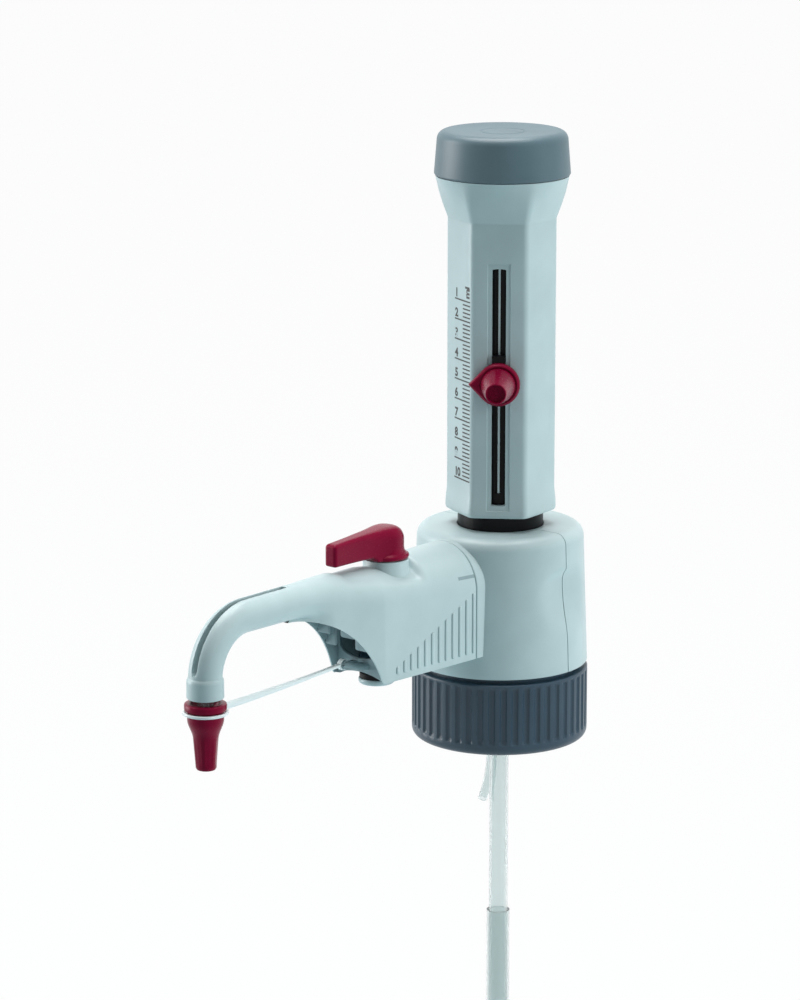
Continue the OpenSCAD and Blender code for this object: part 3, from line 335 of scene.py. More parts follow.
def buildSleeve():
    s = sleeveShape
    columns = sleeveColumns()
    near, away = s["recessMargin"] - 0.06, s["recessMargin"] + 0.06
    rows = [52.0, 52.08, 52.3, 52.7, 53.2, s["slotLow"] - away, s["slotLow"] - near, s["slotLow"]]
    rows += [56.6, 57.5, 58.7, 60.0, 63.0]
    rows += [63.0 + (s["slotHigh"] - 63.0) * i / 8 for i in range(1, 9)]
    rows += [s["slotHigh"] + near, s["slotHigh"] + away, 136.0]
    rows += [s["flareStart"] + step for step in (-0.5, -0.1, 0.1, 0.5)] + [146.0, 150.0, s["top"] - 0.3, s["top"]]
    count = len(columns)
    points = []
    for z in rows:
        for column in columns:
            x, y, h = sleeveOuter(column, z)
            f, u, corner = column
            if f == 0 and u is not None and abs(u) <= s["slotHalf"] and z in (s["slotLow"], s["slotHigh"]):
                lift = s["slotRound"] * (1 - math.sqrt(max(0.0, 1 - (u / s["slotHalf"]) ** 2 * 0.98)))
                h += lift if z == s["slotLow"] else -lift
            points.append((x, y, h))
    outerCount = len(points)
    for r, z in enumerate(rows):
        for c, column in enumerate(columns):
            x, y, h = points[r * count + c]
            f, u, corner = column
            heading = math.atan2(y, x)
            if u is not None and abs(u) < 5.7:
                heading = math.radians(s["slotHeading"] + 60 * f) + math.asin(u / s["bore"])
            points.append((s["bore"] * math.cos(heading), s["bore"] * math.sin(heading), min(h, s["webLow"])))
    faces = []
    slotColumns = [c for c, (f, u, corner) in enumerate(columns)
                   if f == 0 and u is not None and abs(u) <= s["slotHalf"]]
    slotRows = [r for r, z in enumerate(rows) if s["slotLow"] <= z < s["slotHigh"]]
    for r in range(len(rows) - 1):
        for c in range(count):
            d = (c + 1) % count
            if r in slotRows and c in slotColumns[:-1]:
                continue
            a, b, e, h = r * count + c, r * count + d, (r + 1) * count + d, (r + 1) * count + c
            faces.append((a, b, e, h))
            faces.append((a + outerCount, h + outerCount, e + outerCount, b + outerCount))
    # walls and ends of the slot
    for r in slotRows:
        for c in (slotColumns[0], slotColumns[-1]):
            a, h = r * count + c, (r + 1) * count + c
            faces.append((a, h, h + outerCount, a + outerCount))
    for z in (s["slotLow"], s["slotHigh"]):
        for c in slotColumns[:-1]:
            a = rows.index(z) * count + c
            faces.append((a, a + 1, a + 1 + outerCount, a + outerCount))
    # foot
    for c in range(count):
        d = (c + 1) % count
        faces.append((c, d, d + outerCount, c + outerCount))
    # top: rim, counterbore and web
    topStart = (len(rows) - 1) * count
    previous = list(range(topStart, topStart + count))
    for radius, z in ((s["counterbore"], s["top"]), (s["counterbore"], s["webHigh"]), (s["rodHole"], s["webHigh"]),
                      (s["rodHole"], s["webLow"])):
        ring = []
        for i in range(topStart, topStart + count):
            heading = math.atan2(points[i][1], points[i][0])
            points.append((radius * math.cos(heading), radius * math.sin(heading), z))
            ring.append(len(points) - 1)
        for c in range(count):
            d = (c + 1) % count
            faces.append((previous[c], previous[d], ring[d], ring[c]))
        previous = ring
    web = [outerCount + topStart + c for c in range(count)]
    for c in range(count):
        d = (c + 1) % count
        faces.append((previous[c], previous[d], web[d], web[c]))
    piece = pieceFromMesh("hexSleeve", points, faces, paleGreyPolypropylene, 28)
    finishPiece(piece, "piston_carriage", "light_grey", "hex_sleeve")


buildSleeve()
print("stage: sleeve built")


# Scale printed on the face left of the slot
scaleShape = {"heading": -24.0, "face": 14.7, "firstLine": 118.2, "pitch": 6.13, "volumes": 10, "right": 7.6,
              "shortLine": 4.4, "longLine": 9.7, "lineWidth": 0.42, "digitHeight": 2.6, "capitalShare": 0.72,
              "stroke": 0.13, "wider": 1.1, "film": 0.05}


def facePoint(u, z, out=0.0):
    # A place on the scale's face: u across it, z up, out from its surface, which is crowned and rounds off at its sides
    flat = sleeveTangent()
    past = max(0.0, abs(u) - flat)
    corner = sleeveShape["corner"]
    drop = sleeveShape["crown"] * min(1.0, abs(u) / flat) ** 2 + corner - math.sqrt(corner ** 2 - past ** 2)
    a = math.radians(scaleShape["heading"])
    d = scaleShape["face"] - drop + out
    return (d * math.cos(a) - u * math.sin(a), d * math.sin(a) + u * math.cos(a), z)


def buildScale():
    s = scaleShape
    marks = MeshParts()
    w = s["lineWidth"] / 2
    section = ((-w, -0.1), (w, -0.1), (w, s["film"]), (-w, s["film"]))
    for i in range(5 * (s["volumes"] - 1) + 1):  # a long line at each volume, four short ones between
        z = s["firstLine"] - i * s["pitch"] / 5
        length = s["longLine"] if i % 5 == 0 else s["shortLine"]
        stops = [s["right"] - length * (1 - k / 12) for k in range(13)]
        marks.loft([[facePoint(u, z + up, out) for up, out in section] for u in stops])
    piece = pieceFromMesh("scaleLines", marks.points, marks.faces, scaleInk)
    finishPiece(piece, "piston_carriage", "black_plastic")
    words = [(str(i + 1), s["right"] - s["longLine"] + 0.2, s["firstLine"] - i * s["pitch"] + 0.75, 0.0)
             for i in range(s["volumes"])]
    words.append(("ml", s["right"] - 0.4, s["firstLine"] + 0.9, 90.0))
    for word, u, z, turn in words:
        text = bpy.data.curves.new("text", "FONT")
        text.body = word
        text.size = s["digitHeight"] / s["capitalShare"]
        text.extrude = 0.02
        text.offset = s["stroke"]
        text.space_character = 0.9
        holder = bpy.data.objects.new("text", text)
        bpy.context.scene.collection.objects.link(holder)
        bpy.context.view_layer.update()
        mesh = bpy.data.meshes.new_from_object(holder.evaluated_get(bpy.context.evaluated_depsgraph_get()))
        bpy.data.objects.remove(holder)
        mesh.name = "scaleDigits"
        a = math.radians(turn)
        for vertex in mesh.vertices:
            x, y = vertex.co.x * s["wider"], vertex.co.y
            across, up = u + x * math.cos(a) - y * math.sin(a), z + x * math.sin(a) + y * math.cos(a)
            vertex.co = Vector(facePoint(across, up, vertex.co.z + 0.02)) * mm
        mesh.materials.append(scaleInk)
        digits = bpy.data.objects.new("scaleText" + ("Ml" if word == "ml" else word), mesh)
        bpy.context.scene.collection.objects.link(digits)
        finishPiece(digits, "piston_carriage", "black_plastic")


buildScale()
print("stage: scale printed")


# Top cap
topCapShape = {"low": 155.0, "height": 13.5, "radius": 20.6, "topRadius": 19.6, "edge": 2.8, "lowerEdge": 0.7,
               "dish": 0.5, "ring": 6.6, "ringWidth": 0.5, "ringDepth": 0.12, "plug": 12.55, "plugIn": 10.5,
               "plugDeep": 4.0}


def buildTopCap():
    s = topCapShape
    high = s["low"] + s["height"]
    plugLow = s["low"] - s["plugDeep"]
    outline = [(s["plugIn"], plugLow), (s["plug"], plugLow), (s["plug"], s["low"] + 0.05)]
    outline += arcPoints((s["radius"] - s["lowerEdge"], s["low"] + s["lowerEdge"] + 0.05), s["lowerEdge"], -90, 0, 6)
    outline += arcPoints((s["topRadius"] - s["edge"] + 0.2, high - s["edge"]), s["edge"], 6, 86, 12)
    flat = s["topRadius"] - s["edge"] - 0.3
    for i in range(1, 7):
        r = flat - (flat - s["ring"] - 0.6) * i / 6
        outline.append((r, high - s["dish"] * (1 - (r / (flat + 0.5)) ** 2)))
    base = high - s["dish"] * (1 - (s["ring"] / (flat + 0.5)) ** 2)
    for r, drop in ((0.25, 0.0), (0.12, -0.8), (-0.12, -0.8), (-0.25, 0.0)):
        outline.append((s["ring"] + r * s["ringWidth"] * 2, base + drop * s["ringDepth"]))
    outline += [(4.5, high - s["dish"]), (2.0, high - s["dish"]), (0.0, high - s["dish"])]
    outline += [(0.0, high - 2.4), (s["plugIn"], high - 3.4)]
    cap = MeshParts()
    cap.lathe(outline, steps=128)
    piece = pieceFromMesh("topCap", cap.points, cap.faces, midGreyPolypropylene, 40)
    finishPiece(piece, "piston_carriage", "cap_grey", "top_cap")


buildTopCap()
print("stage: top cap built")


# Housing shells
housingShape = {"low": 4.6, "high": 47.5, "radius": 27.0, "draft": 1.4, "edge": 3.6, "wall": 2.1, "opening": 13.2,
                "seam": 0.15, "thumbZ": 33.2, "thumbAbove": 4.0, "thumbBelow": 14.0, "thumbDepth": 2.0,
                "flangeX": 26.5}


def housingOutline():
    # Outer and inner outlines with equally many points, from the foot to the opening
    s = housingShape
    topR = s["radius"] - s["draft"]
    outer = [(s["radius"] - 0.35, s["low"]), (s["radius"] - 0.08, s["low"] + 0.12), (s["radius"], s["low"] + 0.4)]
    low = s["low"] + 0.4
    high = s["high"] - s["edge"]
    for i in range(1, 29):
        z = low + (high - low) * i / 28
        outer.append((s["radius"] - s["draft"] * (z - s["low"]) / (high - s["low"]), z))
    outer += arcPoints((topR - s["edge"], s["high"] - s["edge"]), s["edge"], 8, 90, 11)
    outer += [(20.0, s["high"]), (17.0, s["high"]), (s["opening"] + 0.25, s["high"]), (s["opening"], s["high"] - 0.25)]
    inner = []
    for r, z in outer:
        if z < high:
            inner.append((max(s["opening"], r - s["wall"]), z))
        else:
            inner.append((max(s["opening"], r - s["wall"] * 0.7), min(z, s["high"] - s["wall"])))
    return outer, inner


def thumbPress(x, y, z, depth):
    # Presses the thumb recesses into both sides: steep above their deepest line, long and shallow below it
    s = housingShape
    up = z - s["thumbZ"]
    half = s["thumbAbove"] if up > 0 else s["thumbBelow"]
    bar = (half ** 2 + s["thumbDepth"] ** 2) / (2 * s["thumbDepth"])
    middle = s["radius"] - s["draft"] / 2 - s["thumbDepth"] + bar - depth
    if abs(up) > bar * 0.95:
        return y
    wall = middle - math.sqrt(bar * bar - up * up)
    soft = 0.16 if up > 0 else 0.45
    over = (abs(y) - wall) / soft
    press = soft * (math.log1p(math.exp(over)) if over < 30 else over)
    return math.copysign(abs(y) - press, y)


def buildShell(name, front):
    s = housingShape
    outer, inner = housingOutline()
    gap = math.degrees(math.asin(s["seam"] / s["radius"]))
    start, end = (-90 + gap, 90 - gap) if front else (90 + gap, 270 - gap)
    steps = 96
    points = []
    for profile, depth in ((outer, 0.0), (inner, s["wall"])):
        for r, z in profile:
            for j in range(steps + 1):
                a = math.radians(start + (end - start) * j / steps)
                x, y = r * math.cos(a), r * math.sin(a)
                if z < 44:
                    y = thumbPress(x, y, z, depth)
                points.append((x, y, z))
    cols = steps + 1
    rows = len(outer)
    shift = rows * cols
    faces = []
    for r in range(rows - 1):
        for j in range(steps):
            a, b, c, d = r * cols + j, r * cols + j + 1, (r + 1) * cols + j + 1, (r + 1) * cols + j
            faces.append((a, b, c, d))
            faces.append((d + shift, c + shift, b + shift, a + shift))
        for j in (0, steps):
            a, d = r * cols + j, (r + 1) * cols + j
            faces.append((a, d, d + shift, a + shift))
    for r in (0, rows - 1):
        for j in range(steps):
            a, b = r * cols + j, r * cols + j + 1
            faces.append((a, b, b + shift, a + shift))
    body = MeshParts()
    body.add(points, faces)
    if front:
        rings = []
        flange = s["flangeX"]
        for x, inset in ((flange - 7.5, 0.0), (flange - 0.4, 0.0), (flange - 0.15, 0.08), (flange, 0.3)):
            rings.append([(x, y, z) for y, z in armSection(flange, inset)])
        body.loft(rings)
    piece = pieceFromMesh(name, body.points, body.faces, paleGreyPolypropylene, 38)
    finishPiece(piece, "housing", "light_grey", "front_shell" if front else "rear_shell")


# Arm
armShape = {"start": 26.8, "end": 99.0, "halfWidth": 12.7, "midWidth": 10.2, "midX": 66.0, "top": 46.6, "low": 12.0,
            "wall": 1.9, "spout": 5.1, "spoutZ": 41.3, "archRadius": 34.0, "archX": 99.0, "bulge": 1.08, "dip": 2.4,
            "bossX": 54.0, "mouth": 65.2, "paintedShadeX": 83.0, "paintedShadeZ": 38.0}


def armWidth(x):
    s = armShape
    if x < s["midX"]:
        flange = housingShape["flangeX"]
        return s["halfWidth"] + (s["midWidth"] - s["halfWidth"]) * (x - flange) / (s["midX"] - flange)
    k = min(1.0, (x - s["midX"]) / (s["end"] - s["midX"]))
    return s["midWidth"] + (s["spout"] - 0.05 - s["midWidth"]) * (1 - (1 - k) ** 1.5)


def armLowEdge(x):
    s = armShape
    centre = s["spoutZ"] - s["spout"] - 0.5 - s["archRadius"]
    mouth = s["archX"] - math.sqrt(s["archRadius"] ** 2 - (s["low"] - centre) ** 2)
    if x <= mouth:
        return s["low"]
    return centre + math.sqrt(max(0.0, s["archRadius"] ** 2 - (x - s["archX"]) ** 2))


def armDip(x, y):
    # The arm's back is scooped out round the lever's boss and under its handle
    if x < armShape["bossX"]:
        along = smoothStep(46.5, 49.5, x)
    else:
        along = 0.3 + 0.7 * (1 - smoothStep(56, 68, x)) ** 1.3
        along *= 1 - smoothStep(76.0, 79.5, x)
    w = armWidth(x)
    return armShape["dip"] * along * (1 - smoothStep(w - 4.0, w - 0.4, abs(y)))


def armSection(x, inset=0.0, steps=40, sides=6):
    # Half an oval on straight sides; near the spout the sides close in to a circle
    s = armShape
    k = smoothStep(84, s["end"], x)
    w = armWidth(x) - inset
    top = s["top"] - 0.25 * k - inset
    bulge = s["bulge"] + (1 - s["bulge"]) * k
    middle = top - bulge * w
    low = armLowEdge(x)
    side = []
    for j in range(sides):
        z = low + (middle - low) * j / sides
        r = s["spout"] - inset
        circle = math.sqrt(max(0.0, r * r - min(r, abs(z - s["spoutZ"])) ** 2))
        side.append((w + (circle - w) * k, z))
    angles = [math.pi * i / steps for i in range(steps + 1)]
    arch = [(w * math.cos(a), middle + bulge * w * math.sin(a)) for a in angles]
    arch = [(y, z - armDip(x, y)) for y, z in arch]
    return side + arch + [(-y, z) for y, z in side[::-1]]


def buildArm():
    s = armShape
    arm = MeshParts()
    places = [s["start"], s["start"] + 0.15, s["start"] + 0.5, 30, 34, 38, 42, 45] + [46 + i * 0.5 for i in range(9)]
    places += [51, 52, 54, 56, 58, 60, 62, 63.5]
    mouth = s["mouth"]
    places += sorted([mouth + (s["end"] - mouth) * (i / 26) ** 1.4 for i in range(27)]
                     + [76.2, 76.6, 77.0, 77.6, 78.2, 78.8, 79.4])
    outer = []
    inner = []
    for x in places:
        inset = 0.3 if x == s["start"] else (0.08 if x < s["start"] + 0.2 else 0.0)
        outer.append([(x, y, z) for y, z in armSection(x, inset)])
        skin = armSection(min(x, s["end"]), s["wall"])
        if x > mouth:
            # the walls thin towards the mouth's rim
            last = len(skin) - 1
            for j, thin in ((0, 1.4), (1, 0.5), (last - 1, 0.5), (last, 1.4)):
                y, z = skin[j]
                skin[j] = (y + math.copysign(thin, y), z)
        inner.append([(x, y, max(z, armLowEdge(x))) for y, z in skin])
    rings = [o + i[::-1] for o, i in zip(outer, inner)]
    count = len(rings[0])
    points = [p for ring in rings for p in ring]
    faces = ringFaces(len(rings), count)
    half = count // 2
    for r in (0, len(rings) - 1):
        for j in range(half - 1):
            a, b = r * count + j, r * count + j + 1
            c, d = r * count + count - 2 - j, r * count + count - 1 - j
            faces.append((a, b, c, d))
    arm.add(points, faces)
    # boss under the lever's disc
    arm.lathe([(6.1, 39.5), (6.85, 39.5), (6.85, 46.3), (6.78, 46.48), (6.6, 46.55), (6.1, 46.55)],
              centre=(s["bossX"], 0.0), steps=72)
    return arm


ribShape = {"count": 12, "first": 28.1, "pitch": 2.97, "width": 1.3, "out": 0.42, "low": 13.9, "step": 1.5,
            "lowest": 16.3}


def addRibs(arm):
    # Upright grip ribs with round ends and a round back
    s = ribShape
    for side in (-1, 1):
        for i in range(s["count"]):
            x = s["first"] + i * s["pitch"]
            top = s["lowest"] + (s["count"] - 1 - i) * s["step"]
            wall = armWidth(x)
            rings = []
            r = s["width"] / 2
            for k, out in ((1.0, -0.5), (1.0, 0.05), (0.93, 0.22), (0.72, 0.36), (0.35, s["out"])):
                w = r * k
                low, high = s["low"] + r, top - r
                ring = [(x + w * math.cos(a), side * (wall + out), high + w * math.sin(a))
                        for a in [math.pi * t / 8 for t in range(9)]]
                ring += [(x + w * math.cos(a), side * (wall + out), low + w * math.sin(a))
                         for a in [math.pi + math.pi * t / 8 for t in range(9)]]
                rings.append(ring)
            arm.loft(rings)


spoutShape = {"start": 91.0, "bendX": 116.5, "bendRadius": 16.0, "z": 41.3, "slotStart": 98.0, "slotEnd": 84.0,
              "slotHalf": 0.95, "slotRound": 1.4, "bore": 2.5, "radius": 5.1, "endRadius": 4.9, "nozzleX": 132.5,
              "nozzleZ": 20.3, "nozzleTop": 25.25}


def spoutPath():
    # (middle, outward direction, radius, distance) along the spout's centre line
    s = spoutShape
    stops = []
    x = s["start"]
    straight = s["bendX"] - s["start"]
    bend = math.radians(90) * s["bendRadius"]
    total = straight + bend
    slotEnds = (0, 0.25, 0.7, 1.4)
    spots = [i * 1.5 for i in range(int(straight / 1.5) + 1)] + [straight + bend * i / 30 for i in range(31)]
    spots += [s["slotStart"] - s["start"] + e for e in slotEnds]
    spots += [straight + bend * s["slotEnd"] / 90 - e for e in slotEnds]
    spots = sorted(set(spots))
    for d in spots:
        if d > total + 1e-6:
            continue
        radius = s["radius"] + (s["endRadius"] - s["radius"]) * smoothStep(0, total, d)
        if d <= straight:
            stops.append((Vector((s["start"] + d, 0, s["z"])), Vector((0, 0, 1)), radius, d))
        else:
            a = math.pi / 2 - (d - straight) / s["bendRadius"]
            out = Vector((math.cos(a), 0, math.sin(a)))
            stops.append((Vector((s["bendX"], 0, s["z"] - s["bendRadius"])) + out * s["bendRadius"], out, radius, d))
    return stops, straight, bend


outerSteps, innerSteps = 36, 24


def spoutSection(stop, half):
    # A C-shaped section, open outwards; half is half the slot's width, or 0 for a whole ring
    middle, out, radius, distance = stop
    across = Vector((0, 1, 0))
    s = spoutShape
    ring = []
    a0 = math.asin(min(0.95, half / radius))
    b0 = math.asin(min(0.95, half / s["bore"]))
    soft = 0.22 if half > 0 else 0.0
    first = a0 + soft / radius
    outerArc = [(radius, first + (2 * math.pi - 2 * first) * i / outerSteps) for i in range(outerSteps + 1)]
    innerArc = [(s["bore"], b0 + (2 * math.pi - 2 * b0) * i / innerSteps) for i in range(innerSteps + 1)]
    for r, a in outerArc:
        ring.append(middle + out * (r * math.cos(a)) + across * (r * math.sin(a)))
    lip = math.sqrt(radius ** 2 - half ** 2) - soft
    deep = math.sqrt(s["bore"] ** 2 - half ** 2)
    ring.append(middle + out * (lip + soft * 0.7) - across * (half + soft * 0.3))
    ring.append(middle + out * lip - across * half)
    ring.append(middle + out * (lip * 0.5 + deep * 0.5) - across * half)
    for r, a in innerArc[::-1]:
        ring.append(middle + out * (r * math.cos(a)) + across * (r * math.sin(a)))
    ring.append(middle + out * (lip * 0.5 + deep * 0.5) + across * half)
    ring.append(middle + out * lip + across * half)
    ring.append(middle + out * (lip + soft * 0.7) + across * (half + soft * 0.3))
    return [tuple(p) for p in ring]


def addSpout(arm):
    s = spoutShape
    stops, straight, bend = spoutPath()
    first = s["slotStart"] - s["start"]
    last = straight + bend * s["slotEnd"] / 90
    plain = [stop for stop in stops if stop[3] <= first + 1e-6]
    slotted = [stop for stop in stops if first - 1e-6 <= stop[3] <= last + 1e-6]
    tail = [stop for stop in stops if stop[3] >= last - 1e-6]
    across = Vector((0, 1, 0))

    def wholeRing(middle, out, radius):
        return [tuple(middle + out * (radius * math.cos(a)) + across * (radius * math.sin(a))) for a in turns(48)]

    for part in (plain, tail):
        rings = [wholeRing(middle, out, radius) for middle, out, radius, d in part]
        rings += [wholeRing(middle, out, s["bore"]) for middle, out, radius, d in part[::-1]]
        arm.loft(rings + [rings[0]], caps=False)
    rings = []
    for stop in slotted:
        edge = min(stop[3] - first, last - stop[3])
        half = s["slotHalf"] * math.sqrt(max(0.12, 1 - (1 - min(1.0, edge / s["slotRound"])) ** 2))
        rings.append(spoutSection(stop, half))
    count = len(rings[0])
    points = [p for ring in rings for p in ring]
    faces = ringFaces(len(rings), count)
    for r in (0, len(rings) - 1):
        # the ring's points run along the outer arc, down one wall, back along the inner arc and up the other wall
        inStart = outerSteps + 4
        inEnd = inStart + innerSteps
        for j in range(outerSteps):
            i, k = (inEnd - round(step * innerSteps / outerSteps) for step in (j, j + 1))
            a, b = r * count + j, r * count + j + 1
            faces.append((a, b, r * count + k, r * count + i) if i != k else (a, b, r * count + i))
        faces.append(tuple(r * count + j for j in range(outerSteps, inStart + 1)))
        faces.append(tuple(r * count + j for j in (inEnd, inEnd + 1, inEnd + 2, inEnd + 3, 0)))
    arm.add(points, faces)
    # nozzle with a soft shoulder
    low, high = s["nozzleZ"], s["nozzleTop"]
    outline = [(s["bore"], low), (5.0, low), (5.25, low + 0.08), (5.38, low + 0.3), (5.4, low + 0.6), (5.38, high)]
    arm.lathe(outline + [(s["bore"], high)], centre=(s["nozzleX"], 0.0), steps=72)
    shoulder = [(4.6, 25.25), (5.38, 25.25), (5.32, 25.7), (5.18, 26.05), (5.02, 26.3), (4.9, 26.5), (4.6, 26.5)]
    arm.lathe(shoulder, centre=(s["nozzleX"], 0.0), steps=72)


mouthShape = {"walls": ((76.7, 27.2, 2.0), (72.0, 22.5, 3.6)),  # place, lower edge and half gap of each cross wall
              "wallHigh": 40.0, "thick": 1.4, "floorX": 66.0, "floorHigh": 18.0, "floorLow": 13.9}


def addMouth(arm):
    # Two stepped cross walls with a gap in the middle, and the low wall in front of the valve
    s = mouthShape
    for x, low, gap in s["walls"]:
        for side in (-1, 1):
            width = armWidth(x) - 1.0
            high, edge = s["wallHigh"], 0.6
            corners = [(gap, high), (gap, low + edge), (gap + 0.18, low + 0.18), (gap + edge, low), (width, low),
                       (width, high - 6)]
            rings = []
            for dx, inset in ((0.0, 0.12), (0.12, 0.0), (s["thick"], 0.0)):
                rings.append([(x - dx, side * (y + (inset if y < gap + 1 else 0)), z + inset) for y, z in corners])
            arm.loft(rings)
    # dished front wall: its lower edge is arched, its upper edge rises to both sides
    width = armWidth(s["floorX"]) - 1.2
    across = [width * (i / 14 - 1) for i in range(29)]
    top = [(s["floorX"], y, s["floorHigh"] + 0.9 * (y / 5) ** 2 + 2.2 * smoothStep(width - 2.6, width, abs(y)))
           for y in across]
    low = [(s["floorX"] - 0.2, y, s["floorLow"] - 1.7 * (y / width) ** 2) for y in across]
    mid = [(s["floorX"] - 0.5, y, (t[2] + u[2]) / 2) for y, t, u in zip(across, top, low)]
    back = [(x - 1.3, y, z) for x, y, z in top]
    backLow = [(x - 1.1, y, z) for x, y, z in low]
    lip = [(x - 0.15, y, z - 0.35) for x, y, z in top]
    lipTop = [(x - 0.45, y, z + 0.02) for x, y, z in top]
    rings = [list(ring) for ring in zip(low, mid, lip, lipTop, back, backLow)]
    arm.loft(rings)


forkShape = {"pin": (73.5, 17.8), "pinRadius": 1.3,
             # stations of a tine: x, half width, low and high
             "tine": ((65.4, 3.6, 14.9, 16.9), (67.2, 3.0, 15.3, 17.2), (69.0, 2.5, 15.8, 17.6),
                      (71.0, 2.1, 16.4, 18.1), (72.6, 1.8, 16.8, 18.5), (74.2, 1.7, 17.1, 18.5),
                      (74.7, 1.5, 17.5, 18.1))}


def finishArm():
    arm = buildArm()
    addRibs(arm)
    addSpout(arm)
    addMouth(arm)
    # tines and pin of the strap's fork
    for side in (-1, 1):
        arm.loft([[(x, side, low), (x, side * (wide - 0.3), low), (x, side * wide, low + 0.5),
                   (x, side * wide, high - 0.5), (x, side * (wide - 0.3), high), (x, side, high)]
                  for x, wide, low, high in forkShape["tine"]])
    pinX, pinZ = forkShape["pin"]
    r = forkShape["pinRadius"]
    arm.loft([[(pinX + r * math.cos(a), y, pinZ + r * math.sin(a)) for a in turns(24)] for y in (-1.2, 1.2)])
    piece = pieceFromMesh("armCover", arm.points, arm.faces, paleGreyPolypropylene, 38)
    # faces inside the arm's cavity take the darker material as painted shade
    piece.data.materials.append(paintedShadeGreyPolypropylene)
    for face in piece.data.polygons:
        x, y, z = face.center / mm
        if x < armShape["paintedShadeX"] and z < armShape["paintedShadeZ"] and abs(y) < armWidth(x) - 0.6:
            face.material_index = 1
    finishPiece(piece, "housing", "light_grey", "arm_cover")


buildShell("frontShell", True)
buildShell("rearShell", False)
finishArm()
print("stage: housing and arm built")


# Bottle collar
collarShape = {"high": 3.0, "low": -19.5, "radius": 27.1, "edge": 2.5, "flutes": 48, "perFlute": 10, "depth": 0.65,
               "fluteLow": -16.2, "fluteHigh": 2.2, "bore": 22.8, "threadDepth": 1.2, "threadLow": -15.8,
               "threadTurns": 2.5, "pitch": 4.0}


def buildCollar():
    s = collarShape
    steps = s["flutes"] * s["perFlute"]
    angles = [2 * math.pi * (j + 0.5) / steps for j in range(steps)]
    outer = [(s["radius"] - 0.5, s["high"]), (s["radius"] - 0.15, s["high"] - 0.12), (s["radius"], s["high"] - 0.45)]
    high, low = s["fluteHigh"] - 1.2, s["fluteLow"] + 1.4
    heights = [high + step for step in (1.2, 0.9, 0.5, 0.0)] + [high + (low - high) * i / 6 for i in range(1, 7)]
    heights += [s["fluteLow"] + step for step in (0.9, 0.45, 0.15, 0.0)]
    outer += [(s["radius"], z) for z in heights]
    outer += arcPoints((s["radius"] - s["edge"], s["low"] + s["edge"]), s["edge"], -4, -78, 9)
    rings = []
    for r, z in outer:
        ring = []
        fade = smoothStep(s["fluteLow"] - 0.1, s["fluteLow"] + 1.0, z)
        fade *= 1 - smoothStep(s["fluteHigh"] - 1.0, s["fluteHigh"] + 0.1, z)
        for j, a in enumerate(angles):
            phase = (j % s["perFlute"]) / s["perFlute"]
            inFlute = smoothStep(0.18, 0.34, phase) * (1 - smoothStep(0.66, 0.82, phase))
            cut = r - s["depth"] * fade * inFlute
            ring.append((cut * math.cos(a), cut * math.sin(a), z))
        rings.append(ring)
    inner = [(s["bore"] + 0.6, s["low"])]
    inner += [(s["bore"], s["low"] + 0.6 + (0.4 - s["low"] - 0.6) * i / 40) for i in range(41)]
    for r, z in inner:
        ring = []
        for a in angles:
            # lap is the height off the rib's middle and lead the place along the rib, both in turns
            rise = (z - s["threadLow"]) / s["pitch"]
            along = rise - a / (2 * math.pi)
            lap = along - round(along)
            lead = rise - lap
            fade = smoothStep(0, 0.25, lead) * (1 - smoothStep(s["threadTurns"] - 0.25, s["threadTurns"], lead))
            crest = r - (1 - smoothStep(0.17, 0.34, abs(lap))) * fade * s["threadDepth"]
            ring.append((crest * math.cos(a), crest * math.sin(a), z))
        rings.append(ring)
    for r, z in ((s["bore"], 3.35), (17.25, 3.35), (17.25, 5.15), (24.4, 5.15), (24.4, s["high"])):
        rings.append([(r * math.cos(a), r * math.sin(a), z) for a in angles])
    rings.append(rings[0])
    collar = MeshParts()
    collar.loft(rings, caps=False)
    piece = pieceFromMesh("threadCollar", collar.points, collar.faces, darkGreyPolypropylene, 50)
    finishPiece(piece, "bottle_mount", "collar_grey", "thread_collar")


buildCollar()
print("stage: collar built")


# Recirculation lever
leverShape = {"x": 54.0, "low": 46.8, "high": 56.5, "tipHigh": 55.0, "hub": 5.5, "disc": 7.0, "reach": 25.0,
              "tip": 2.2, "corner": 1.0, "handleLow": 48.3, "edge": 1.1, "dome": 2.0, "back": 0.8, "arcEnd": 70}


def leverOutline(steps=80):
    # Half the plan about the lever's axis: the hub's arc, a flank that leaves it smoothly, a corner and the blunt end
    s = leverShape
    points = []
    corner = s["corner"]
    end = math.radians(s["arcEnd"])
    x0, y0 = s["hub"] * math.cos(end), s["hub"] * math.sin(end)
    power = (s["reach"] - corner - x0) / (math.tan(end) * (y0 - s["tip"]))
    for i in range(steps + 1):
        t = i / steps
        if t < 0.4:
            a = math.radians(180 - (180 - s["arcEnd"]) * t / 0.4)
            points.append((s["hub"] * math.cos(a), s["hub"] * math.sin(a)))
        elif t < 0.82:
            k = (t - 0.4) / 0.42
            x = x0 + (s["reach"] - corner - x0) * k
            y = y0 + (s["tip"] - y0) * (1 - (1 - k) ** power)
            points.append((x, y))
        elif t < 0.92:
            a = math.radians(90 - 90 * (t - 0.82) / 0.1)
            points.append((s["reach"] - corner + corner * math.cos(a), s["tip"] - corner + corner * math.sin(a)))
        else:
            points.append((s["reach"], (s["tip"] - corner) * (1 - (t - 0.92) / 0.08)))
    return points + [(x, -y) for x, y in points[-2:0:-1]]


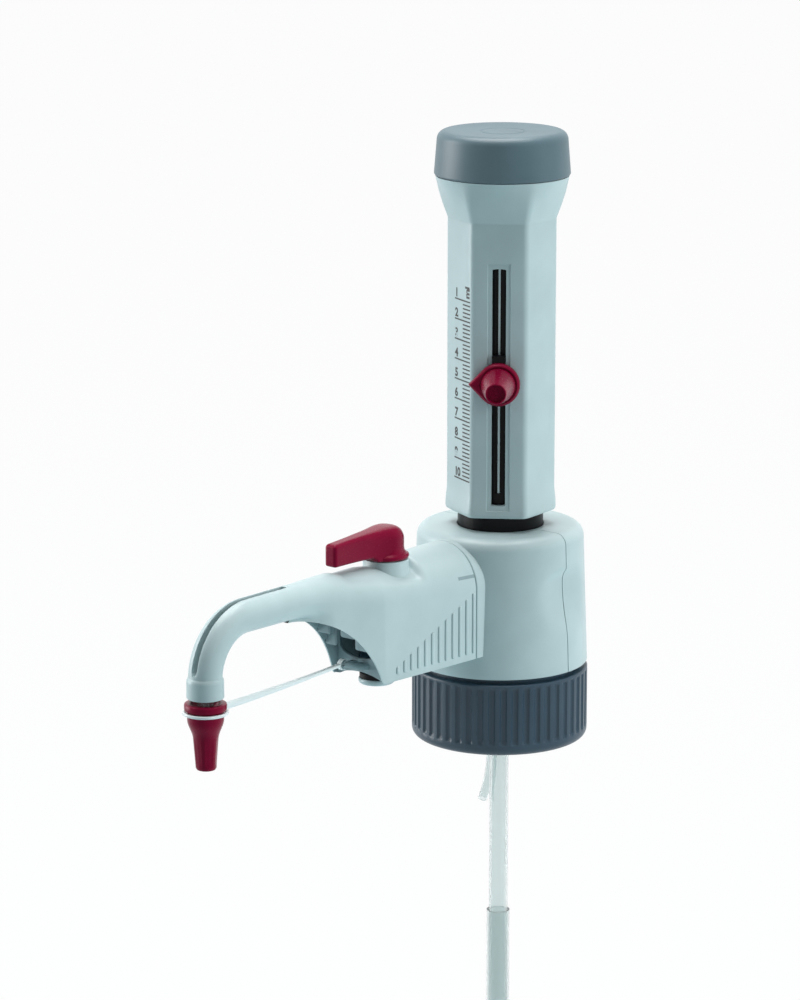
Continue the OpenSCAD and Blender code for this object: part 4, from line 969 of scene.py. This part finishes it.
def buildLever():
    s = leverShape
    outline = leverOutline()
    count = len(outline)

    def leverTop(x, y):
        # The crest falls slowly to the tip; the hub is domed and drops away at its rim
        crest = s["high"] - (s["high"] - s["tipHigh"]) * max(0.0, (x - 2) / (s["reach"] - 2))
        fall = 0.4 + s["dome"] * (1 - smoothStep(2, 12, x))
        wide = s["hub"] + (2.6 - s["hub"]) * smoothStep(0, 12, x)
        across = math.hypot(min(x, 0.0), y) / wide
        return crest - fall * across ** 4.2 - s["back"] * max(0.0, -x / s["hub"]) ** 2.4

    def leverBottom(x):
        return s["low"] + 0.02 + (s["handleLow"] - s["low"]) * smoothStep(s["hub"] + 1.2, s["hub"] + 3.5, x)

    def inward(index, amount):
        along = (Vector(outline[(index + 1) % count]) - Vector(outline[index - 1])).normalized()
        normal = Vector((along.y, -along.x))
        here = Vector(outline[index])
        if normal.dot(here - Vector((min(max(here.x, 0), s["reach"] - s["tip"]), 0))) < 0:
            normal = -normal
        return here - normal * amount

    rings = []
    for share, inset in ((0.0, 0.5), (0.03, 0.2), (0.08, 0.03), (0.16, 0.0), (0.4, 0.0), (0.7, 0.0)):
        ring = []
        for i in range(count):
            p, q = inward(i, inset), Vector(outline[i])
            low, high = leverBottom(p.x), leverTop(q.x, q.y) - s["edge"]
            ring.append((s["x"] + p.x, p.y, low + (high - low) * share))
        rings.append(ring)
    for a in (0, 15, 30, 45, 60, 75, 90):
        inset = s["edge"] * (1 - math.cos(math.radians(a)))
        ring = []
        for i in range(count):
            p = inward(i, inset)
            ring.append((s["x"] + p.x, p.y, leverTop(p.x, p.y) - s["edge"] + s["edge"] * math.sin(math.radians(a))))
        rings.append(ring)
    for share in (0.9, 0.8, 0.65, 0.5, 0.3, 0.08):
        ring = []
        for i in range(count):
            p = inward(i, s["edge"])
            spine = Vector((min(max(p.x, 0), s["reach"] - s["tip"]), 0))
            q = spine + (p - spine) * share
            ring.append((s["x"] + q.x, q.y, leverTop(q.x, q.y)))
        rings.append(ring)
    lever = MeshParts()
    points = [p for ring in rings for p in ring]
    faces = ringFaces(len(rings), count)
    half = count // 2
    for r in (0, len(rings) - 1):
        base = r * count
        for j in range(half):
            # the first and the last of these are triangles
            face = [base + j, base + j + 1, base + (count - j - 1) % count, base + (count - j) % count]
            unique = tuple(dict.fromkeys(face))
            if len(unique) > 2:
                faces.append(unique)
    lever.add(points, faces)
    # disc with a hollow fillet up to the hub
    edge = ((0.6, 0.0), (0.2, 0.12), (0.0, 0.5), (0.0, 0.9), (0.12, 1.2), (0.45, 1.42), (0.85, 1.6), (1.15, 1.9),
            (1.35, 2.4), (1.47, 3.1), (1.6, 4.0))
    disc = [(0.0, s["low"])] + [(s["disc"] - inset, s["low"] + up) for inset, up in edge] + [(0.0, s["low"] + 4.0)]
    lever.lathe(disc, centre=(s["x"], 0.0), closed=False)
    piece = pieceFromMesh("recirculationLever", lever.points, lever.faces, crimsonAbs, 50)
    finishPiece(piece, "recirculation_lever", "red_plastic", "lever")


buildLever()
print("stage: lever built")


# Round foot under the arm
footShape = {"x": 58.2, "low": 9.0, "radius": 5.4, "thick": 1.8, "stemX": 57.9, "stem": 5.3, "stemBore": 2.5,
             "stemHigh": 12.4}


def buildFoot():
    s = footShape
    high = s["low"] + s["thick"]
    disc = [(0.0, s["low"]), (s["radius"] - 1.2, s["low"]), (s["radius"] - 0.5, s["low"] + 0.12),
            (s["radius"] - 0.12, s["low"] + 0.45), (s["radius"], s["low"] + 0.8), (s["radius"], high - 0.25),
            (s["radius"] - 0.2, high), (0.0, high)]
    foot = MeshParts()
    foot.lathe(disc, centre=(s["x"], 0.0), steps=72, closed=False)
    piece = pieceFromMesh("switchFoot", foot.points, foot.faces, paleGreyPolypropylene, 40)
    finishPiece(piece, "housing", "light_grey", "switch_foot")
    # the stem is black as painted shade for the dark gap between the foot and the arm
    stem = MeshParts()
    stem.lathe([(s["stemBore"], high - 0.2), (s["stem"] - 0.3, high - 0.2), (s["stem"], high + 0.1),
                (s["stem"], s["stemHigh"]), (s["stemBore"], s["stemHigh"])], centre=(s["stemX"], 0.0), steps=60)
    piece = pieceFromMesh("paintedShadeFootStem", stem.points, stem.faces, blackPbt, 40)
    finishPiece(piece, "housing", "black_plastic", "switch_foot")


buildFoot()
print("stage: foot built")


# Volume pointer
pointerShape = {"heading": 36.0, "z": 93.68, "plate": 15.15, "thick": 2.0, "radius": 6.5, "tip": 9.0, "groove": 5.7,
                "grooveIn": 5.2, "bore": 1.66}


def pointerPlace(out, u, up):
    a = math.radians(pointerShape["heading"])
    return (out * math.cos(a) - u * math.sin(a), out * math.sin(a) + u * math.cos(a), pointerShape["z"] + up)


def tearOutline(radius, tip, steps=60):
    # Circle with a point on its left, at tip from the middle
    touch = math.degrees(math.acos(radius / tip))
    return arcPoints((0.0, 0.0), radius, touch - 180, 180 - touch, steps) + [(-tip + 0.12, 0.18), (-tip, 0.0),
                                                                             (-tip + 0.12, -0.18)]


def buildPointer():
    s = pointerShape
    rings = []
    for out, inset in ((0.0, 0.0), (s["thick"] - 0.75, 0.0), (s["thick"] - 0.3, 0.25), (s["thick"], 0.75)):
        outline = tearOutline(s["radius"] - inset, s["tip"] - inset * 1.45)
        rings.append([pointerPlace(s["plate"] + out, u, up) for u, up in outline])
    headings = [math.atan2(up, u) for u, up in tearOutline(s["radius"], s["tip"])]
    sunk = s["thick"] - 0.35
    for radius, out in ((s["groove"], s["thick"]), (s["groove"] - 0.07, sunk), (s["grooveIn"], sunk), (s["bore"], sunk),
                        (s["bore"], 0.0)):
        rings.append([pointerPlace(s["plate"] + out, radius * math.cos(a), radius * math.sin(a)) for a in headings])
    rings.append(rings[0])
    plate = MeshParts()
    plate.loft(rings, caps=False)
    piece = pieceFromMesh("pointerPlate", plate.points, plate.faces, crimsonAbs, 30)
    finishPiece(piece, "volume_pointer", "red_plastic", "pointer_plate")


thumbShape = {"base": 5.2, "end": 3.2, "length": 13.0, "stem": 1.2, "stemLow": 12.9, "dish": 0.9, "grooves": 5}


def buildThumbScrew():
    s = thumbShape
    start = pointerShape["plate"] + pointerShape["thick"] + 0.1
    end = start + s["length"]
    outline = [(0.0, s["stemLow"]), (s["stem"], s["stemLow"]), (s["stem"], start), (s["base"] - 0.15, start),
               (s["base"], start + 0.2)]
    for i in range(1, 9):
        k = i / 9
        outline.append((s["base"] + (s["end"] - s["base"]) * (k ** 1.15), start + 0.2 + (s["length"] - 0.8) * k))
    outline += [(s["end"] - inset, end - deep) for inset, deep in ((0.0, 0.35), (0.1, 0.1), (0.3, 0.0), (0.5, 0.05))]
    inner, floor = s["end"] - 0.6, end - s["dish"]
    outline.append((inner, floor))
    for i in range(s["grooves"]):
        r = inner * (1 - (i + 0.5) / (s["grooves"] + 0.5))
        outline += [(r + side, floor - deep) for side, deep in ((0.12, 0.0), (0.05, 0.12), (-0.05, 0.12), (-0.12, 0.0))]
    outline.append((0.0, floor))
    rings = [[pointerPlace(out, r * math.cos(a), r * math.sin(a)) for a in turns(72)] for r, out in outline]
    screw = MeshParts()
    screw.loft(rings, caps=False)
    piece = pieceFromMesh("thumbScrew", screw.points, screw.faces, crimsonAbs, 35)
    finishPiece(piece, "thumb_screw", "red_plastic", "thumb_screw")


buildPointer()
buildThumbScrew()
print("stage: pointer built")


# Discharge cap and strap
capShape = {"x": 132.5, "lipZ": 18.9, "length": 19.8, "lip": 6.15, "neck": 5.3, "waist": 3.7, "end": 3.05,
            "waistUp": 9.4, "taper": 5.6, "panels": 6, "panelDepth": 0.16}


def buildDischargeCap():
    s = capShape
    foot = s["lipZ"] - s["length"]
    outline = [(0.0, foot), (s["end"] - 0.9, foot), (s["end"] - 0.35, foot + 0.2), (s["end"] - 0.05, foot + 0.7)]
    for k in [i / 8 for i in range(9)]:
        outline.append((s["end"] + (s["waist"] - s["end"]) * k, foot + 1.2 + (s["waistUp"] - 1.2) * k))
    for k in [i / 8 for i in range(1, 9)]:
        outline.append((s["waist"] + (s["neck"] - s["waist"]) * smoothStep(0, 1, k),
                        foot + s["waistUp"] + s["taper"] * k))
    lip = s["lipZ"]
    outline.append((s["neck"], lip - 2.2))
    outline += [(s["lip"] - inset, lip - deep)
                for inset, deep in ((0.3, 2.1), (0.05, 1.85), (0.0, 1.5), (0.0, 0.6), (0.12, 0.2), (0.45, 0.0))]
    outline += [(s["neck"] - 0.8, lip), (s["neck"] - 1.1, lip - 0.3), (2.75, lip - 4.0), (2.75, 8.9), (2.15, 8.4),
                (2.15, 0.9), (0.0, 0.9)]
    rings = []
    for r, z in outline:
        ring = []
        panel = smoothStep(foot + 0.8, foot + 2.2, z) * (1 - smoothStep(foot + 8.4, foot + 10.5, z)) if r > 2.6 else 0.0
        for a in turns(96):
            wave = abs(math.cos(a * s["panels"] / 2))
            pressed = r - s["panelDepth"] * panel * smoothStep(0.35, 0.9, wave)
            ring.append((s["x"] + pressed * math.cos(a), pressed * math.sin(a), z))
        rings.append(ring)
    cap = MeshParts()
    cap.loft(rings, caps=False)
    piece = pieceFromMesh("dischargeCap", cap.points, cap.faces, crimsonAbs, 35)
    finishPiece(piece, "discharge_cap", "red_plastic", "discharge_cap")


strapShape = {"eye": 1.4, "ringZ": 16.1, "ringIn": 5.55, "ringHigh": 0.8, "tall": 2.0, "narrow": 1.1, "sag": 0.3,
              "wide": 1.5}


def buildStrap():
    s = strapShape
    strap = MeshParts()
    # ring in the cap's neck
    high = s["ringHigh"] / 2
    section = [(0.0, 0.12 - high), (0.12, -high), (0.95, -high), (1.1, 0.15 - high),
               (1.1, high - 0.15), (0.95, high), (0.12, high), (0.0, high - 0.12)]
    rings = [[(capShape["x"] + (s["ringIn"] + r) * math.cos(a), (s["ringIn"] + r) * math.sin(a), s["ringZ"] + z)
              for r, z in section] for a in turns(72)]
    strap.loft(rings + [rings[0]], caps=False)
    # eye round the fork's pin
    pinX, pinZ = forkShape["pin"]
    section = [(s["eye"], -0.7), (s["eye"] + 0.3, -0.7), (s["eye"] + 0.3, 0.7), (s["eye"], 0.7)]
    rings = [[(pinX + r * math.cos(a), y, pinZ + r * math.sin(a)) for r, y in section] for a in turns(48)]
    strap.loft(rings + [rings[0]], caps=False)
    # band between them
    start = Vector((pinX + s["eye"] + 0.4, 0, pinZ))
    end = Vector((capShape["x"] - s["ringIn"] - 0.6, 0, s["ringZ"]))
    rings = []
    for i in range(41):
        k = i / 40
        middle = start.lerp(end, k) + Vector((0, 0, -s["sag"] * 4 * k * (1 - k)))
        wide = s["wide"] / 2
        t = (s["narrow"] + (s["tall"] - s["narrow"]) * smoothStep(0.0, 0.9, k)) / 2
        ring = []
        for a in turns(16):
            y, z = (math.copysign(abs(v) ** 0.6, v) for v in (math.cos(a), math.sin(a)))
            ring.append((middle.x, wide * y, middle.z + t * z))
        rings.append(ring)
    strap.loft(rings)
    piece = pieceFromMesh("capStrap", strap.points, strap.faces, milkyPolyethylene, 50)
    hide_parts("cap_strap")
    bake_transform(piece)


buildDischargeCap()
buildStrap()
print("stage: cap and strap built")


# Finishes of the frame's nodes: first those that show as they are, then those that the pieces above cover
nodeFinishes = {
    "lip_seal": whitePtfe, "valve_block": whitePtfe, "glass_cylinder": drawnGlass, "cylinder_seal": whitePtfe,
    # stop_rail is a real rail; its pale milky plastic is a painted highlight, the thin light line along the black
    # sleeve
    "cylinder_sleeve": blackPbt, "stop_rail": milkyPolyethylene, "safety_ring": blackPbt, "filling_valve": whitePtfe,
    "filling_valve_seal": blackFkm, "filling_ball": lappedCeramic, "filling_tube": extrudedPfa,
    "telescopic_tube": extrudedPfa, "return_tube": extrudedPfa, "return_pipe": whitePtfe,
    "union_nut": paleGreyPolypropylene, "discharge_valve": whitePtfe, "discharge_seal": blackFkm,
    "discharge_ball": lappedCeramic, "discharge_spring": drawnWire, "switch_body": darkGreyPolypropylene,
    "switch_plug": whitePtfe, "plug_rings": blackFkm, "lever_screw": turnedSteel, "discharge_tube": extrudedPfa,
    "piston_rod": turnedSteel, "piston_head": whitePtfe, "piston_lips": blackFkm, "calibration_nut": whitePtfe,
    "lock_disc": crimsonAbs, "clamp_block": blackPbt,
    "hex_sleeve": paleGreyPolypropylene, "top_cap": midGreyPolypropylene, "front_shell": paleGreyPolypropylene,
    "rear_shell": paleGreyPolypropylene, "arm_cover": paleGreyPolypropylene, "thread_collar": darkGreyPolypropylene,
    "lever": crimsonAbs, "switch_foot": paleGreyPolypropylene, "pointer_plate": crimsonAbs, "thumb_screw": crimsonAbs,
    "discharge_cap": crimsonAbs, "cap_strap": milkyPolyethylene,
}
for name, material in nodeFinishes.items():
    for materialSlot in nodes[name].material_slots:
        materialSlot.material = material
print("stage: finishes assigned")


# Floor, lamps and background
stageLook = {"floorZ": -0.252, "floorHalf": 6.0, "floor": (0.52, 0.7, 0.75, 1), "background": "#FFFFFF",
             "whiteShare": 0.97, "ambient": (0.72, 0.94, 1.0, 1), "ambientStrength": 0.1}
floorMesh = bpy.data.meshes.new("floor")
far = stageLook["floorHalf"]
floorMesh.from_pydata([(x, y, stageLook["floorZ"]) for x, y in ((-far, -far), (far, -far), (far, far), (-far, far))],
                      [], [(0, 1, 2, 3)])
floor = bpy.data.objects.new("floor", floorMesh)
bpy.context.scene.collection.objects.link(floor)


def seenRays(tree):
    # 1 for what the camera sees straight, in a reflection or through a clear piece
    rays = addNode(tree, "ShaderNodeLightPath")
    seen = rays.outputs["Is Camera Ray"]
    for kind in ("Is Glossy Ray", "Is Transmission Ray"):
        either = addNode(tree, "ShaderNodeMath", {"operation": "MAXIMUM"}, {0: seen, 1: rays.outputs[kind]})
        seen = either.outputs[0]
    return seen


floorMaterial = bpy.data.materials.new("paperFloor")
floorMaterial.use_nodes = True
floorTree = floorMaterial.node_tree
floorTree.nodes.clear()
paper = addNode(floorTree, "ShaderNodeBsdfDiffuse", {}, {"Color": stageLook["floor"]})
glow = addNode(floorTree, "ShaderNodeEmission", {}, {"Color": hexColour(stageLook["background"]), "Strength": 1.0})
share = addNode(floorTree, "ShaderNodeMath", {"operation": "MULTIPLY"}, {0: seenRays(floorTree),
                                                                        1: stageLook["whiteShare"]})
floorMix = addNode(floorTree, "ShaderNodeMixShader", {}, {"Fac": share.outputs[0], 1: paper.outputs[0],
                                                         2: glow.outputs[0]})
addNode(floorTree, "ShaderNodeOutputMaterial", {}, {"Surface": floorMix.outputs[0]})
floorMesh.materials.append(floorMaterial)

world = bpy.data.worlds.new("studio")
bpy.context.scene.world = world
world.use_nodes = True
worldTree = world.node_tree
worldTree.nodes.clear()
ambient = addNode(worldTree, "ShaderNodeBackground", {}, {"Color": stageLook["ambient"],
                                                         "Strength": stageLook["ambientStrength"]})
backdrop = addNode(worldTree, "ShaderNodeBackground", {}, {"Color": hexColour(stageLook["background"]),
                                                          "Strength": 1.0})
worldMix = addNode(worldTree, "ShaderNodeMixShader", {}, {"Fac": seenRays(worldTree), 1: ambient.outputs[0],
                                                         2: backdrop.outputs[0]})
addNode(worldTree, "ShaderNodeOutputWorld", {}, {"Surface": worldMix.outputs[0]})


def addLamp(name, place, target, size, power):
    data = bpy.data.lights.new(name, "AREA")
    data.shape = "RECTANGLE"
    data.size, data.size_y = size
    data.energy = power
    lamp = bpy.data.objects.new(name, data)
    lamp.location = place
    lamp.rotation_euler = (Vector(target) - Vector(place)).to_track_quat("-Z", "Y").to_euler()
    bpy.context.scene.collection.objects.link(lamp)
    return lamp


addLamp("leftSoftbox", (0.62, -1.05, 0.22), (0.03, 0, 0.04), (0.7, 1.1), 11.5)
rightSoftbox = addLamp("rightSoftbox", (-0.5, 1.08, 0.22), (0.0, 0, 0.04), (0.7, 1.1), 12.5)
addLamp("topSoftbox", (-0.05, -0.15, 1.1), (0.03, 0, 0.04), (0.9, 0.9), 16.0)
rightSoftbox.visible_glossy = False  # as if flagged off, so that the lever's side keeps its deep red
bpy.context.scene.view_settings.view_transform = "Standard"
print("stage: studio set")
